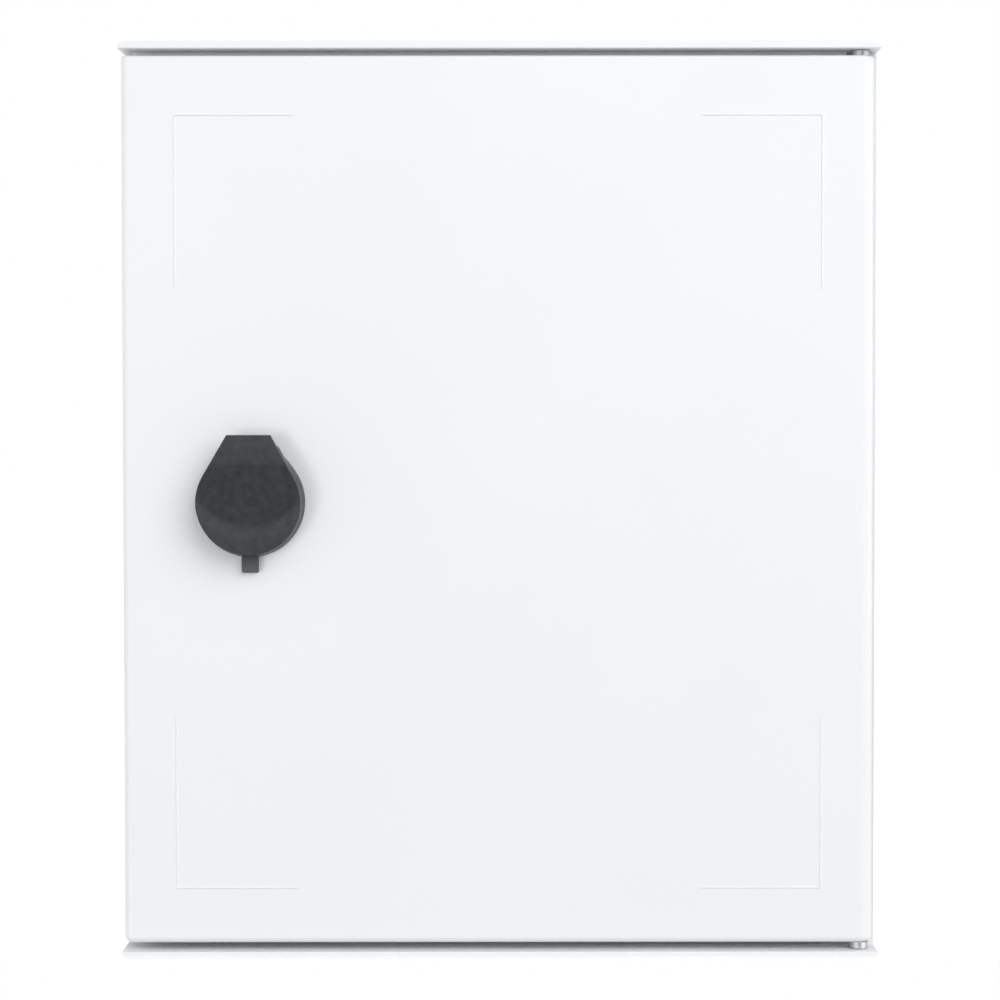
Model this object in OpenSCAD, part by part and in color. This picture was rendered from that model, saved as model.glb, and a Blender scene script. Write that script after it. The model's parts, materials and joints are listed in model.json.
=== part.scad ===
// Wall-mounting enclosure moulded in glass-fibre polyester. Its plain door hangs on two
// pivot pins and is closed by a quarter-turn latch under a flip-up dust cap.
// The back lies in the plane y = 0, the door faces -y and z points up.

/* [Case] */
// Width across the front rim
case_w = 255; // [220:5:400]
// Height across the front rim
case_h = 308; // [240:1:500]
// Depth from the wall to the front of the door
case_d = 160; // [130:5:260]
// Thickness of the moulded walls
wall = 3; // [2.5:0.25:4]
// Depth of the rim's edge behind its front
rim_return = 18; // [10:1:30]
// Thickness of the rim's edge and of the lips over and under the door
lip_t = 2.4; // [2:0.2:3.2]
// How far the lips stand in front of the door
lip_reach = 2.4; // [0:0.2:4]
// Corner radius of the rim
rim_corner_r = 2.5; // [1:0.5:4]
// Corner radius inside the case
inner_corner_r = 6; // [5:1:12]
// Round of the case's back edges
back_edge_r = 5; // [2:0.5:6]
// Thickness of the sealing edge round the opening
edge_t = 2.4; // [2:0.2:3]

/* [Door] */
// Thickness of the door's face and skirts
door_t = 3; // [2.5:0.25:4]
// Depth of the door from its front to the back of its skirts
door_depth = 17; // [14:0.5:24]
// Gap between the door's skirts and the rim behind them
skirt_gap = 2; // [1:0.5:4]
// Gap between the door and the outside of the rim on the latch side
latch_side_gap = 0.6; // [0.2:0.1:1]
// Gap between the door and the outside of the rim on the hinge side
hinge_side_gap = 1.7; // [1.5:0.1:4]
// Gap between the upper lip and the door
top_gap = 2; // [1.5:0.1:4]
// Gap between the lower lip and the door
bottom_gap = 2.5; // [1.5:0.1:4]
// Round of the door's front edges
door_edge_r = 2; // [1:0.25:2.5]
// Round of the door's hinge-side edge, struck from the hinge axis
hinge_edge_r = 4.2; // [4:0.1:5]
// Corner radius of the door seen from the front
door_corner_r = 2.5; // [1:0.5:4]
// Width of the raised corner lines on the door
line_w = 0.8; // [0.5:0.1:2]
// Height of the raised corner lines
line_h = 0.35; // [0.2:0.05:1]
// Distance of the corner lines from the door's sides
line_inset_x = 18; // [12:0.2:30]
// Mean distance of the corner lines from the door's top and bottom
line_inset_z = 19.2; // [12:0.2:30]
// How far the four corner lines together sit below the door's middle
line_drop = 0.9; // [0:0.1:3]
// Length of the level corner lines
line_len_x = 42.5; // [20:0.5:60]
// Length of the upright corner lines
line_len_z = 60; // [20:0.5:80]

/* [Seal] */
// Width of the foamed gasket in the door
gasket_w = 7; // [5:0.5:9]
// Thickness of the gasket
gasket_t = 4; // [3:0.25:6]
// Thickness of the two ribs that hold the gasket
channel_t = 1.5; // [1:0.25:2]
// Height of the two ribs that hold the gasket
channel_h = 2.5; // [1.5:0.25:3]
// Room between the gasket and the sealing edge before the latch draws the door in
seal_gap = 0.3; // [0.2:0.1:1]

/* [Hinge] */
// Diameter of the pivot pins
pin_d = 3; // [2:0.1:3.4]
// Length of the pins inside the door
pin_reach = 18; // [10:1:22]
// Wall of the bushes round the pins
bush_t = 1; // [0.6:0.1:1.2]
// Length of the bushes inside the door
bush_len = 14; // [8:1:20]
// Diameter of the bushes' collars
collar_d = 6; // [6:0.5:9]
// Length of the solid knuckles at the ends of the door's hinge edge
knuckle_len = 26; // [24:1:40]
// Wall left between the knuckles and the door's outside
knuckle_inset = 0.3; // [0.2:0.1:0.6]
// Room left beside the hinge edge as it turns
swing_gap = 1.2; // [0.5:0.1:3]
// Distance from the hinge axis to the end of the door's deep upper and lower skirts
skirt_end = 10.5; // [9:0.5:20]

/* [Latch] */
// Distance of the latch from the door's free edge
latch_inset = 43.2; // [38:0.1:70]
// Height of the latch above the middle of the case
latch_z = 0; // [-60:1:60]
// Diameter of the latch barrel through the door
barrel_d = 22; // [20:0.5:24]
// Distance across the barrel's two flats
barrel_flats = 20; // [18.5:0.5:20]
// Diameter of the bezel on the front of the door
bezel_d = 31; // [29:0.5:31]
// Thickness of the bezel
bezel_t = 3; // [2.5:0.25:3.5]
// Thickness of the flat seal under the bezel
bezel_seal_t = 1; // [0.5:0.25:1.5]
// Distance across the flats of the nut
nut_af = 27; // [25:1:30]
// Thickness of the nut
nut_t = 5; // [3:0.5:7]
// Diameter of the turning core
core_d = 16; // [14:0.5:16]
// Diameter of the core's head
core_head_d = 18; // [17:0.25:19]
// Thickness of the core's head
core_head_t = 2.4; // [2.2:0.1:2.8]
// Depth of the bezel's recess for the core's head
head_recess = 2; // [1.5:0.1:2.2]
// Diameter of the key hole in the core
key_hole_d = 11; // [9:0.5:12]
// Depth of the key hole
key_hole_depth = 6; // [4:0.5:9]
// Metal left between the key hole and the hole for the tongue's screw
key_floor_t = 3; // [2:0.5:4]
// Diameter of the post in the key hole
key_post_d = 4; // [3:0.5:4.5]
// Span of the two bits on the post
key_bit_span = 8; // [6:0.5:8.5]
// Thickness of the two bits
key_bit_t = 2.4; // [2:0.2:3]
// Depth of the post's tip behind the front of the core
key_post_inset = 1; // [0.5:0.25:2]
// Section of the sealing ring round the core
ring_section = 1.8; // [1.4:0.2:2.2]
// Distance of the sealing ring's groove behind the bezel
ring_depth = 3; // [2:0.5:8]
// Width of the latch tongue
cam_w = 14; // [11:0.5:16]
// Thickness of the latch tongue
cam_t = 3; // [2:0.5:4]
// Side of the square that drives the tongue
cam_square = 8; // [6:0.5:9]
// Room between the keeper's lip and the tongue behind it
cam_gap = 0.6; // [0.3:0.1:1.5]
// Room between the tongue's tip and the keeper's base
cam_tip_gap = 5; // [3:0.5:8]
// Thread diameter of the screw that holds the tongue
cam_screw_d = 5; // [4:0.5:5]
// Thickness of the washer behind the tongue
cam_washer_t = 1.2; // [0.8:0.2:2]
// Thickness of the keeper's sheet
keeper_t = 2; // [1.5:0.25:3]
// Width of the keeper up the case wall
keeper_w = 34; // [30:1:50]
// Depth of the keeper's base on the case wall
keeper_base = 18; // [16:1:24]
// Reach of the keeper's lip from the case wall
keeper_reach = 13.5; // [11:0.5:15]
// Diameter of the keeper's rivets
rivet_d = 4; // [3:0.5:5]
// Distance of the rivets behind the keeper's front
rivet_depth = 11; // [9:0.5:12]
// Distance of the rivets from the keeper's ends
rivet_inset = 8; // [6:0.5:10]

/* [Dust cap] */
// Radius of the cap's round part at its rim
cap_r = 18.5; // [18:0.25:20]
// How much narrower the radius of the round part is at the cap's front
cap_draft = 1; // [0.4:0.1:1.5]
// Height of the cap's flat top edge above the latch axis
cap_top = 22.6; // [22:0.1:23.5]
// Width of the cap's flat top edge
cap_top_w = 14.5; // [14:0.5:18]
// How far the cap's front stands off the door
cap_height = 12; // [12:0.25:14]
// Gap between the cap's rim and the door
cap_rim_gap = 2; // [1.5:0.25:2.5]
// Wall of the cap
cap_t = 1.6; // [1.2:0.1:1.8]
// Height above the latch axis at which the cap's upper slope starts
cap_slope_z = 12.7; // [10:0.1:14]
// How far the upper slope falls back at the top edge
cap_slope_drop = 1.8; // [0.5:0.1:2.4]
// Radius of the line where the cap's lower slope starts
cap_smile_r = 21.8; // [19:0.2:24]
// Lowest point of the line where the lower slope starts, below the latch axis
cap_smile_low = 9.8; // [7:0.1:12]
// Steepness of the lower slope, in degrees
cap_smile_angle = 18; // [8:1:25]
// Width of the finger tab
tab_w = 5.8; // [4:0.1:8]
// Distance of the tab's end below the latch axis
tab_low = 23.7; // [21:0.1:27]
// Thickness of the tab
tab_t = 2.2; // [1.5:0.1:3]
// Height of the cap's pin above the latch axis
cap_pin_z = 18.8; // [18.4:0.1:19.2]
// Distance of the cap's pin from the door
cap_pin_off = 6.5; // [6:0.1:7]
// Diameter of the cap's pin
cap_pin_d = 2; // [1.5:0.1:2.4]
// Width of the lug that carries the cap's pin
lug_w = 6.4; // [5:0.2:7]
// Width of the cap's two cheeks beside the lug
cheek_t = 2.5; // [1.5:0.1:2.5]

/* [Mounting plate] */
// Distance between the plate's back and the wall behind the case
plate_standoff = 18; // [14:1:40]
// Thickness of the plate
plate_t = 2; // [1.5:0.5:4]
// Room between the plate and the case walls
plate_margin = 15; // [10:1:25]
// Cut-off corners of the plate
plate_chamfer = 16; // [12:1:24]
// Distance of the plate's screws from its sides
plate_screw_inset_x = 10; // [9:0.5:16]
// Distance of the plate's screws from its top and bottom
plate_screw_inset_z = 36; // [30:1:50]
// Thread diameter of the plate's screws
plate_screw_d = 5; // [4:1:6]
// Diameter of the moulded bosses under the plate
boss_d = 14; // [12:1:18]
// Diameter of the brass inserts in the bosses
insert_d = 8; // [7:0.5:9]
// Length of the brass inserts
insert_len = 10; // [8:1:11]

/* [Wall fixing] */
// Distance between the wall holes from left to right
fixing_w = 196; // [150:2:196]
// Distance between the wall holes from bottom to top
fixing_h = 246; // [180:2:246]
// Diameter of the wall holes
fixing_d = 7; // [5:0.5:8]
// Diameter of the raised pads round the wall holes
pad_d = 16; // [14:1:18]
// Height of the raised pads
pad_h = 3; // [1:0.5:5]

/* [Clearances] */
// Radial room of pieces pressed or screwed into each other
press_gap = 0.02; // [0.01:0.01:0.05]
// Radial room of pieces that turn on each other
running_gap = 0.05; // [0.03:0.01:0.1]
// Room along the axis of pieces that turn on each other
turn_gap = 0.2; // [0.1:0.1:0.5]
// Room of pieces that lie in a hole or slot
slot_gap = 0.4; // [0.2:0.1:0.6]

/* [Hidden] */
$fn = 64;

// How far a cutting shape runs past the face it cuts
overcut = 1;

// Colours of the pieces
polyester = [0.91, 0.92, 0.93];
dark_plastic = [0.22, 0.23, 0.25];
grey_plastic = [0.50, 0.51, 0.52];
black_rubber = [0.08, 0.08, 0.09];
grey_foam = [0.25, 0.25, 0.26];
zinc_steel = [0.72, 0.74, 0.76];
bright_brass = [0.80, 0.66, 0.36];

// Depths of the door and the rim behind it
front_y = -case_d;
skirt_back_y = front_y + door_depth;
rim_y = skirt_back_y + skirt_gap;
lip_y = front_y - lip_reach;
face_back_y = front_y + door_t;
gasket_back_y = face_back_y + gasket_t;
edge_tip_y = gasket_back_y + seal_gap;

// Outline of the door
door_left = -case_w / 2 + latch_side_gap;
door_right = case_w / 2 - hinge_side_gap;
door_top = case_h / 2 - lip_t - top_gap;
door_bottom = -case_h / 2 + lip_t + bottom_gap;
door_w = door_right - door_left;
door_h = door_top - door_bottom;
door_mid_x = (door_left + door_right) / 2;
door_mid_z = (door_top + door_bottom) / 2;

// Hinge axis, and the circle that the hinge edge sweeps as the door opens
hinge_x = door_right - hinge_edge_r;
hinge_y = front_y + hinge_edge_r;
hinge_back_y = hinge_y + hinge_edge_r;
sweep_r = hinge_edge_r * sqrt(2);
guard_y = hinge_y + sweep_r + slot_gap;
skirt_end_x = hinge_x - skirt_end;
skirt_slant_x = skirt_end_x + skirt_back_y - hinge_back_y;

// The opening lies clear of the hinge edge's sweep on all four sides
edge_inset = hinge_side_gap + hinge_edge_r + sweep_r + swing_gap;
inner_w = case_w - 2 * (edge_inset + edge_t);
inner_h = case_h - 2 * (edge_inset + edge_t);
body_w = inner_w + 2 * wall;
body_h = inner_h + 2 * wall;

// The gasket runs along the middle of the sealing edge
gasket_in_w = inner_w + edge_t - gasket_w;
gasket_in_h = inner_h + edge_t - gasket_w;
gasket_in_r = inner_corner_r + (edge_t - gasket_w) / 2;

// Bores of the hinge
knuckle_r = hinge_edge_r - knuckle_inset;
bush_bore_d = pin_d + 2 * running_gap;
bush_d = bush_bore_d + 2 * bush_t;

// Depths of the latch
latch_x = door_left + latch_inset;
bezel_back_y = front_y - bezel_seal_t;
bezel_front_y = bezel_back_y - bezel_t;
head_seat_y = bezel_front_y + head_recess;
head_back_y = head_seat_y - turn_gap;
core_front_y = head_back_y - core_head_t;
cam_y = rim_y + keeper_t + cam_gap;
cam_back_y = cam_y + cam_t;
barrel_back_y = cam_y - turn_gap;
cam_washer_back_y = cam_back_y + cam_washer_t;
cam_hub_d = 1.3 * cam_w;
cam_washer_d = 0.95 * cam_w;
core_bore_d = core_d + 2 * running_gap;
core_groove_y = bezel_back_y + ring_depth;
ring_groove_w = 1.2 * ring_section;
key_floor_y = core_front_y + key_hole_depth;
screw_hole_y = key_floor_y + key_floor_t;

// The keeper on the case wall, and the tongue that reaches behind it
keeper_x = -inner_w / 2;
cam_reach = latch_x - (keeper_x + keeper_t) - cam_tip_gap;
rivet_y = rim_y + rivet_depth;
rivet_z = keeper_w / 2 - rivet_inset;
rivet_head_d = 2 * rivet_d;
rivet_head_t = 0.3 * rivet_d;

// Form of the dust cap: the flank touches the round part's front at this angle from the level
cap_front_r = cap_r - cap_draft;
cap_flank = atan2(cap_top, cap_top_w / 2) - acos(cap_front_r / norm([cap_top_w / 2, cap_top]));
cap_front_y = front_y - cap_height;
cap_back_y = front_y - cap_rim_gap;
cap_pin_y = front_y - cap_pin_off;
cap_smile_z = cap_smile_r - cap_smile_low;
lug_r = 1.2 * cap_pin_d;
cheek_r = 1.4 * cap_pin_d;
cap_pin_len = lug_w + 2 * (slot_gap + cheek_t);

// Outline and screws of the mounting plate
plate_w = inner_w - 2 * plate_margin;
plate_h = inner_h - 2 * plate_margin;
plate_screw_x = plate_w / 2 - plate_screw_inset_x;
plate_screw_z = plate_h / 2 - plate_screw_inset_z;
plate_back_y = -plate_standoff;
plate_front_y = plate_back_y - plate_t;
washer_d = 2 * plate_screw_d;
washer_t = 0.2 * plate_screw_d;

// Helper shapes

// Extrudes an outline drawn in x and z between two depths
module slab(y_front, y_back) {
    translate([0, y_back, 0])
        rotate([90, 0, 0])
            linear_extrude(y_back - y_front)
                children();
}

// Extrudes an outline drawn in y and z from left to right
module across(x_left, x_right) {
    translate([x_left, 0, 0])
        rotate([90, 0, 90])
            linear_extrude(x_right - x_left)
                children();
}

// Round bar along y between two depths
module rod(y_front, y_back, d) {
    translate([0, y_back, 0])
        rotate([90, 0, 0])
            cylinder(h = y_back - y_front, d = d);
}

// Round bar along y that widens from front to back
module cone(y_front, y_back, d_front, d_back) {
    translate([0, y_back, 0])
        rotate([90, 0, 0])
            cylinder(h = y_back - y_front, d1 = d_back, d2 = d_front);
}

// Rectangle with round corners, about the origin
module rounded(w, h, r) {
    square([w - 2 * r, h], center = true);
    square([w, h - 2 * r], center = true);
    for (x = [-1, 1], z = [-1, 1])
        translate([x * (w / 2 - r), z * (h / 2 - r)])
            circle(r);
}

// Frame of even width round a rounded opening
module frame_outline(w, h, r, t) {
    difference() {
        rounded(w + 2 * t, h + 2 * t, r + t);
        rounded(w, h, r);
    }
}

// Rectangle between two corners
module span(x1, z1, x2, z2) {
    translate([x1, z1])
        square([x2 - x1, z2 - z1]);
}

// Puts a shape at the four corners of a rectangle in x and z
module at_corners(x, z) {
    for (side_x = [-1, 1], side_z = [-1, 1])
        translate([side_x * x, 0, side_z * z])
            children();
}

module at_latch() {
    translate([latch_x, 0, latch_z])
        children();
}

// Puts a shape drawn along x at the dust cap's pin
module at_cap_pin() {
    translate([0, cap_pin_y, cap_pin_z])
        rotate([0, 90, 0])
            children();
}

// Case

module case_opening() {
    rounded(inner_w, inner_h, inner_corner_r);
}

// Section of the case body from its rim to its rounded back, drawn in y and across
module body_section(size) {
    span(rim_y, -size / 2, -back_edge_r, size / 2);
    span(rim_y, back_edge_r - size / 2, 0, size / 2 - back_edge_r);
    for (side = [-1, 1])
        translate([-back_edge_r, side * (size / 2 - back_edge_r)])
            circle(back_edge_r);
}

module body_form() {
    intersection() {
        slab(rim_y, 0)
            rounded(body_w, body_h, inner_corner_r + wall);
        across(-body_w / 2 - overcut, body_w / 2 + overcut)
            body_section(body_h);
        translate([0, 0, -body_h / 2 - overcut])
            linear_extrude(body_h + 2 * overcut)
                mirror([1, -1])
                    body_section(body_w);
    }
}

module case_body() {
    difference() {
        body_form();
        slab(rim_y - overcut, -wall)
            case_opening();
    }
}

module rim_outline() {
    rounded(case_w, case_h, rim_corner_r);
}

// Rim face, its turned-back edge and the sealing edge
module case_rim() {
    slab(rim_y, rim_y + wall)
        difference() {
            rim_outline();
            case_opening();
        }
    slab(rim_y, rim_y + rim_return)
        difference() {
            rim_outline();
            square([case_w - 2 * lip_t, case_h - 2 * lip_t], center = true);
        }
    slab(edge_tip_y, rim_y)
        frame_outline(inner_w, inner_h, inner_corner_r, edge_t);
}

// Lips over and under the door, and the low guard behind the hinge edge
module case_lips() {
    slab(lip_y, rim_y)
        intersection() {
            rim_outline();
            for (side = [-1, 1])
                translate([0, side * (case_h - lip_t) / 2])
                    square([case_w, lip_t], center = true);
        }
    slab(guard_y, rim_y)
        intersection() {
            rim_outline();
            translate([(case_w - lip_t) / 2, 0])
                square([lip_t, case_h], center = true);
        }
}

module rivet_holes() {
    for (side = [-1, 1])
        translate([keeper_x - wall - overcut, rivet_y, latch_z + side * rivet_z])
            rotate([0, 90, 0])
                cylinder(h = wall + keeper_t + 2 * overcut, d = rivet_d + 2 * press_gap);
}

module case_shell() {
    color(polyester)
        difference() {
            union() {
                case_body();
                case_rim();
                case_lips();
                at_corners(plate_screw_x, plate_screw_z)
                    rod(plate_back_y, -wall / 2, boss_d);
                at_corners(fixing_w / 2, fixing_h / 2)
                    rod(-wall - pad_h, -wall / 2, pad_d);
            }
            at_corners(fixing_w / 2, fixing_h / 2)
                rod(-wall - pad_h - overcut, overcut, fixing_d);
            at_corners(plate_screw_x, plate_screw_z)
                rod(plate_back_y - overcut, plate_back_y + insert_len, insert_d + 2 * press_gap);
            translate([hinge_x, hinge_y, -case_h / 2 - overcut])
                cylinder(h = case_h + 2 * overcut, d = pin_d + 2 * press_gap);
            rivet_holes();
        }
}

module plate_inserts() {
    color(bright_brass)
        at_corners(plate_screw_x, plate_screw_z)
            difference() {
                rod(plate_back_y, plate_back_y + insert_len, insert_d);
                rod(plate_back_y - overcut, plate_back_y + insert_len + overcut,
                    plate_screw_d + 2 * press_gap);
            }
}

// Pivot pins in the lips, flush with the lips' outsides
module hinge_pins() {
    color(zinc_steel)
        translate([hinge_x, hinge_y, 0]) {
            translate([0, 0, door_top - pin_reach])
                cylinder(h = case_h / 2 - door_top + pin_reach, d = pin_d);
            translate([0, 0, -case_h / 2])
                cylinder(h = door_bottom + pin_reach + case_h / 2, d = pin_d);
        }
}

// Angle of sheet steel on the case wall, which the latch tongue turns behind
module keeper_bracket() {
    color(zinc_steel)
        difference() {
            translate([0, 0, latch_z - keeper_w / 2])
                linear_extrude(keeper_w)
                    union() {
                        span(keeper_x, rim_y, keeper_x + keeper_t, rim_y + keeper_base);
                        span(keeper_x, rim_y, keeper_x + keeper_reach, rim_y + keeper_t);
                    }
            rivet_holes();
        }
}

module keeper_rivets() {
    color(zinc_steel)
        for (side = [-1, 1])
            translate([keeper_x, rivet_y, latch_z + side * rivet_z])
                rotate([0, 90, 0]) {
                    translate([0, 0, -wall - rivet_head_t])
                        cylinder(h = rivet_head_t, d1 = rivet_d, d2 = rivet_head_d);
                    translate([0, 0, -wall])
                        cylinder(h = wall + keeper_t, d = rivet_d);
                    translate([0, 0, keeper_t])
                        cylinder(h = rivet_head_t, d1 = rivet_head_d, d2 = rivet_d);
                }
}

// Mounting plate

module mounting_plate() {
    color(zinc_steel)
        difference() {
            slab(plate_front_y, plate_back_y)
                difference() {
                    square([plate_w, plate_h], center = true);
                    for (x = [-1, 1], z = [-1, 1])
                        translate([x * plate_w / 2, z * plate_h / 2])
                            rotate(45)
                                square(plate_chamfer * sqrt(2), center = true);
                }
            at_corners(plate_screw_x, plate_screw_z)
                rod(plate_front_y - overcut, plate_back_y + overcut, plate_screw_d + 2 * slot_gap);
        }
}

module plate_washers() {
    color(zinc_steel)
        at_corners(plate_screw_x, plate_screw_z)
            difference() {
                rod(plate_front_y - washer_t, plate_front_y, washer_d);
                rod(plate_front_y - washer_t - overcut, plate_front_y + overcut,
                    plate_screw_d + slot_gap);
            }
}

// Pan-head screw along y, head to the front, with a cross slot
module pan_screw(seat_y, tip_y, d) {
    head_d = 1.9 * d;
    head_t = 0.6 * d;
    slot_t = 0.2 * d;
    difference() {
        union() {
            cone(seat_y - head_t, seat_y, 0.7 * head_d, head_d);
            rod(seat_y, tip_y, d);
        }
        for (turn = [0, 90])
            translate([0, seat_y - head_t, 0])
                rotate([0, turn, 0])
                    cube([0.6 * head_d, head_t, slot_t], center = true);
    }
}

module plate_screws() {
    color(zinc_steel)
        at_corners(plate_screw_x, plate_screw_z)
            pan_screw(plate_front_y - washer_t, plate_back_y + insert_len - washer_t, plate_screw_d);
}

// Door

// Door seen from above: the latch edge is rounded small and the hinge edge from the hinge axis
module door_plan() {
    span(door_left + door_edge_r, front_y, hinge_x, hinge_back_y);
    translate([door_left + door_edge_r, front_y + door_edge_r])
        circle(door_edge_r);
    polygon([
        [door_left, front_y + door_edge_r],
        [skirt_slant_x, front_y + door_edge_r],
        [skirt_slant_x, hinge_back_y],
        [skirt_end_x, skirt_back_y],
        [door_left, skirt_back_y]
    ]);
    translate([hinge_x, hinge_y])
        circle(hinge_edge_r);
    span(hinge_x, hinge_y, door_right, hinge_back_y);
}

// Door seen from the side, with its upper and lower front edges rounded
module door_side() {
    span(front_y + door_edge_r, door_bottom, skirt_back_y, door_top);
    span(front_y, door_bottom + door_edge_r, skirt_back_y, door_top - door_edge_r);
    for (z = [door_bottom + door_edge_r, door_top - door_edge_r])
        translate([front_y + door_edge_r, z])
            circle(door_edge_r);
}

module door_form() {
    intersection() {
        translate([0, 0, door_bottom])
            linear_extrude(door_h)
                door_plan();
        across(door_left - overcut, door_right + overcut)
            door_side();
        slab(front_y - overcut, skirt_back_y + overcut)
            translate([door_mid_x, door_mid_z])
                rounded(door_w, door_h, door_corner_r);
    }
}

// Round bar on the hinge axis at both ends of the door
module on_hinge_ends(len, d) {
    for (z = [door_bottom - overcut, door_top - len])
        translate([hinge_x, hinge_y, z])
            cylinder(h = len + overcut, d = d);
}

// Ribs that hold the gasket on both sides
module gasket_channel() {
    slab(face_back_y - overcut, face_back_y + channel_h) {
        frame_outline(gasket_in_w + 2 * gasket_w, gasket_in_h + 2 * gasket_w,
            gasket_in_r + gasket_w, channel_t);
        frame_outline(gasket_in_w - 2 * channel_t, gasket_in_h - 2 * channel_t,
            gasket_in_r - channel_t, channel_t);
    }
}

// Hollow of the door, less the knuckles and the gasket ribs that stand in it
module door_hollow() {
    difference() {
        slab(face_back_y, skirt_back_y + overcut)
            translate([door_mid_x, door_mid_z])
                square([door_w - 2 * door_t, door_h - 2 * door_t], center = true);
        on_hinge_ends(knuckle_len, 2 * knuckle_r);
        gasket_channel();
    }
}

// Round hole with two flats for the latch barrel
module barrel_outline(room) {
    intersection() {
        circle(d = barrel_d + 2 * room);
        square([barrel_d + 2 * room, barrel_flats + 2 * room], center = true);
    }
}

// One raised corner line pair, from its corner to the left and down
module corner_line() {
    span(-line_len_x, -line_w, 0, 0);
    span(-line_w, -line_len_z, 0, 0);
}

module corner_lines() {
    slab(front_y - line_h, front_y + door_t / 2)
        translate([door_mid_x, door_mid_z - line_drop])
            for (x = [0, 1], z = [0, 1])
                mirror([x, 0])
                    mirror([0, z])
                        translate([door_w / 2 - line_inset_x, door_h / 2 - line_inset_z])
                            corner_line();
}

module door_panel() {
    color(polyester)
        difference() {
            union() {
                difference() {
                    door_form();
                    door_hollow();
                }
                corner_lines();
            }
            on_hinge_ends(knuckle_len, bush_d + 2 * press_gap);
            at_latch()
                slab(front_y - overcut, face_back_y + overcut)
                    barrel_outline(slot_gap / 2);
        }
}

module door_gasket() {
    color(grey_foam)
        slab(face_back_y, gasket_back_y)
            frame_outline(gasket_in_w, gasket_in_h, gasket_in_r, gasket_w);
}

// Bush with a collar that fills the gap to the lip
module hinge_bush(gap) {
    difference() {
        union() {
            translate([0, 0, -bush_len])
                cylinder(h = bush_len, d = bush_d);
            cylinder(h = gap - turn_gap, d = collar_d);
        }
        translate([0, 0, -bush_len - overcut])
            cylinder(h = bush_len + gap + 2 * overcut, d = bush_bore_d);
    }
}

module hinge_bushes() {
    color(grey_plastic) {
        translate([hinge_x, hinge_y, door_top])
            hinge_bush(top_gap);
        translate([hinge_x, hinge_y, door_bottom])
            mirror([0, 0, 1])
                hinge_bush(bottom_gap);
    }
}

// Latch

// Lug on the bezel that carries the dust cap's pin, open above and behind the pin for the cap's swing
module cap_lug() {
    across(-lug_w / 2, lug_w / 2)
        union() {
            translate([cap_pin_y, cap_pin_z])
                circle(lug_r);
            span(cap_pin_y - lug_r, core_head_d / 2 + 2 * slot_gap, bezel_front_y + overcut, cap_pin_z);
        }
}

module lock_housing() {
    chamfer = bezel_t / 4;
    color(dark_plastic)
        at_latch()
            difference() {
                union() {
                    cone(bezel_front_y, bezel_front_y + chamfer, bezel_d - 2 * chamfer, bezel_d);
                    rod(bezel_front_y + chamfer, bezel_back_y, bezel_d);
                    slab(bezel_back_y, barrel_back_y)
                        barrel_outline(0);
                    cap_lug();
                }
                rod(cap_front_y, head_seat_y, core_head_d + slot_gap);
                rod(cap_front_y, barrel_back_y + overcut, core_bore_d);
                at_cap_pin()
                    cylinder(h = lug_w + 2 * overcut, d = cap_pin_d + 2 * press_gap, center = true);
            }
}

module lock_seal() {
    color(black_rubber)
        at_latch()
            difference() {
                rod(bezel_back_y, front_y, bezel_d - bezel_seal_t);
                rod(bezel_back_y - overcut, front_y + overcut, barrel_d + slot_gap);
            }
}

module lock_nut() {
    color(zinc_steel)
        at_latch()
            difference() {
                rod(face_back_y, face_back_y + nut_t, nut_af / cos(30), $fn = 6);
                rod(face_back_y - overcut, face_back_y + nut_t + overcut, barrel_d + 2 * press_gap);
            }
}

// Double-bit post that the key goes over
module key_post() {
    tip_y = core_front_y + key_post_inset;
    rod(tip_y, key_floor_y + overcut, key_post_d);
    slab(tip_y, key_floor_y + overcut)
        square([key_bit_span, key_bit_t], center = true);
}

module lock_core() {
    groove_d = core_d - 2 * (ring_section + press_gap);
    color(zinc_steel)
        at_latch()
            difference() {
                union() {
                    difference() {
                        union() {
                            rod(core_front_y, head_back_y, core_head_d);
                            rod(core_front_y, barrel_back_y + turn_gap, core_d);
                        }
                        rod(core_front_y - overcut, key_floor_y, key_hole_d);
                        difference() {
                            rod(core_groove_y, core_groove_y + ring_groove_w, core_d + overcut);
                            rod(core_groove_y, core_groove_y + ring_groove_w, groove_d);
                        }
                    }
                    key_post();
                    slab(barrel_back_y, cam_back_y - turn_gap)
                        square(cam_square, center = true);
                }
                rod(screw_hole_y, cam_back_y + overcut, cam_screw_d + 2 * press_gap);
            }
}

module core_ring() {
    color(black_rubber)
        at_latch()
            translate([0, core_groove_y + ring_groove_w / 2, 0])
                rotate([90, 0, 0])
                    rotate_extrude()
                        translate([core_d / 2 - ring_section / 2, 0])
                            circle(d = ring_section);
}

// Tongue that points down while the latch is open
module latch_cam() {
    color(zinc_steel)
        at_latch()
            slab(cam_y, cam_back_y)
                difference() {
                    union() {
                        circle(d = cam_hub_d);
                        span(-cam_w / 2, cam_w / 2 - cam_reach, cam_w / 2, 0);
                        translate([0, cam_w / 2 - cam_reach])
                            circle(d = cam_w);
                    }
                    square(cam_square + 2 * running_gap, center = true);
                }
}

module cam_washer() {
    color(zinc_steel)
        at_latch()
            difference() {
                rod(cam_back_y, cam_washer_back_y, cam_washer_d);
                rod(cam_back_y - overcut, cam_washer_back_y + overcut, cam_screw_d + slot_gap);
            }
}

module cam_screw() {
    tip_y = screw_hole_y + cam_washer_t;
    color(zinc_steel)
        at_latch()
            translate([0, cam_washer_back_y, 0])
                rotate([0, 0, 180])
                    pan_screw(0, cam_washer_back_y - tip_y, cam_screw_d);
}

// Dust cap

// Upper part of the cap, from the round part to its flat top edge, brought in by an inset
module cap_peak(inset) {
    r = cap_front_r - inset;
    top = cap_top - inset;
    top_x = (r - top * sin(cap_flank)) / cos(cap_flank);
    touch = r * [cos(cap_flank), sin(cap_flank)];
    polygon([[-top_x, top], [top_x, top], touch, [0, 0], [-touch.x, touch.y]]);
}

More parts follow.
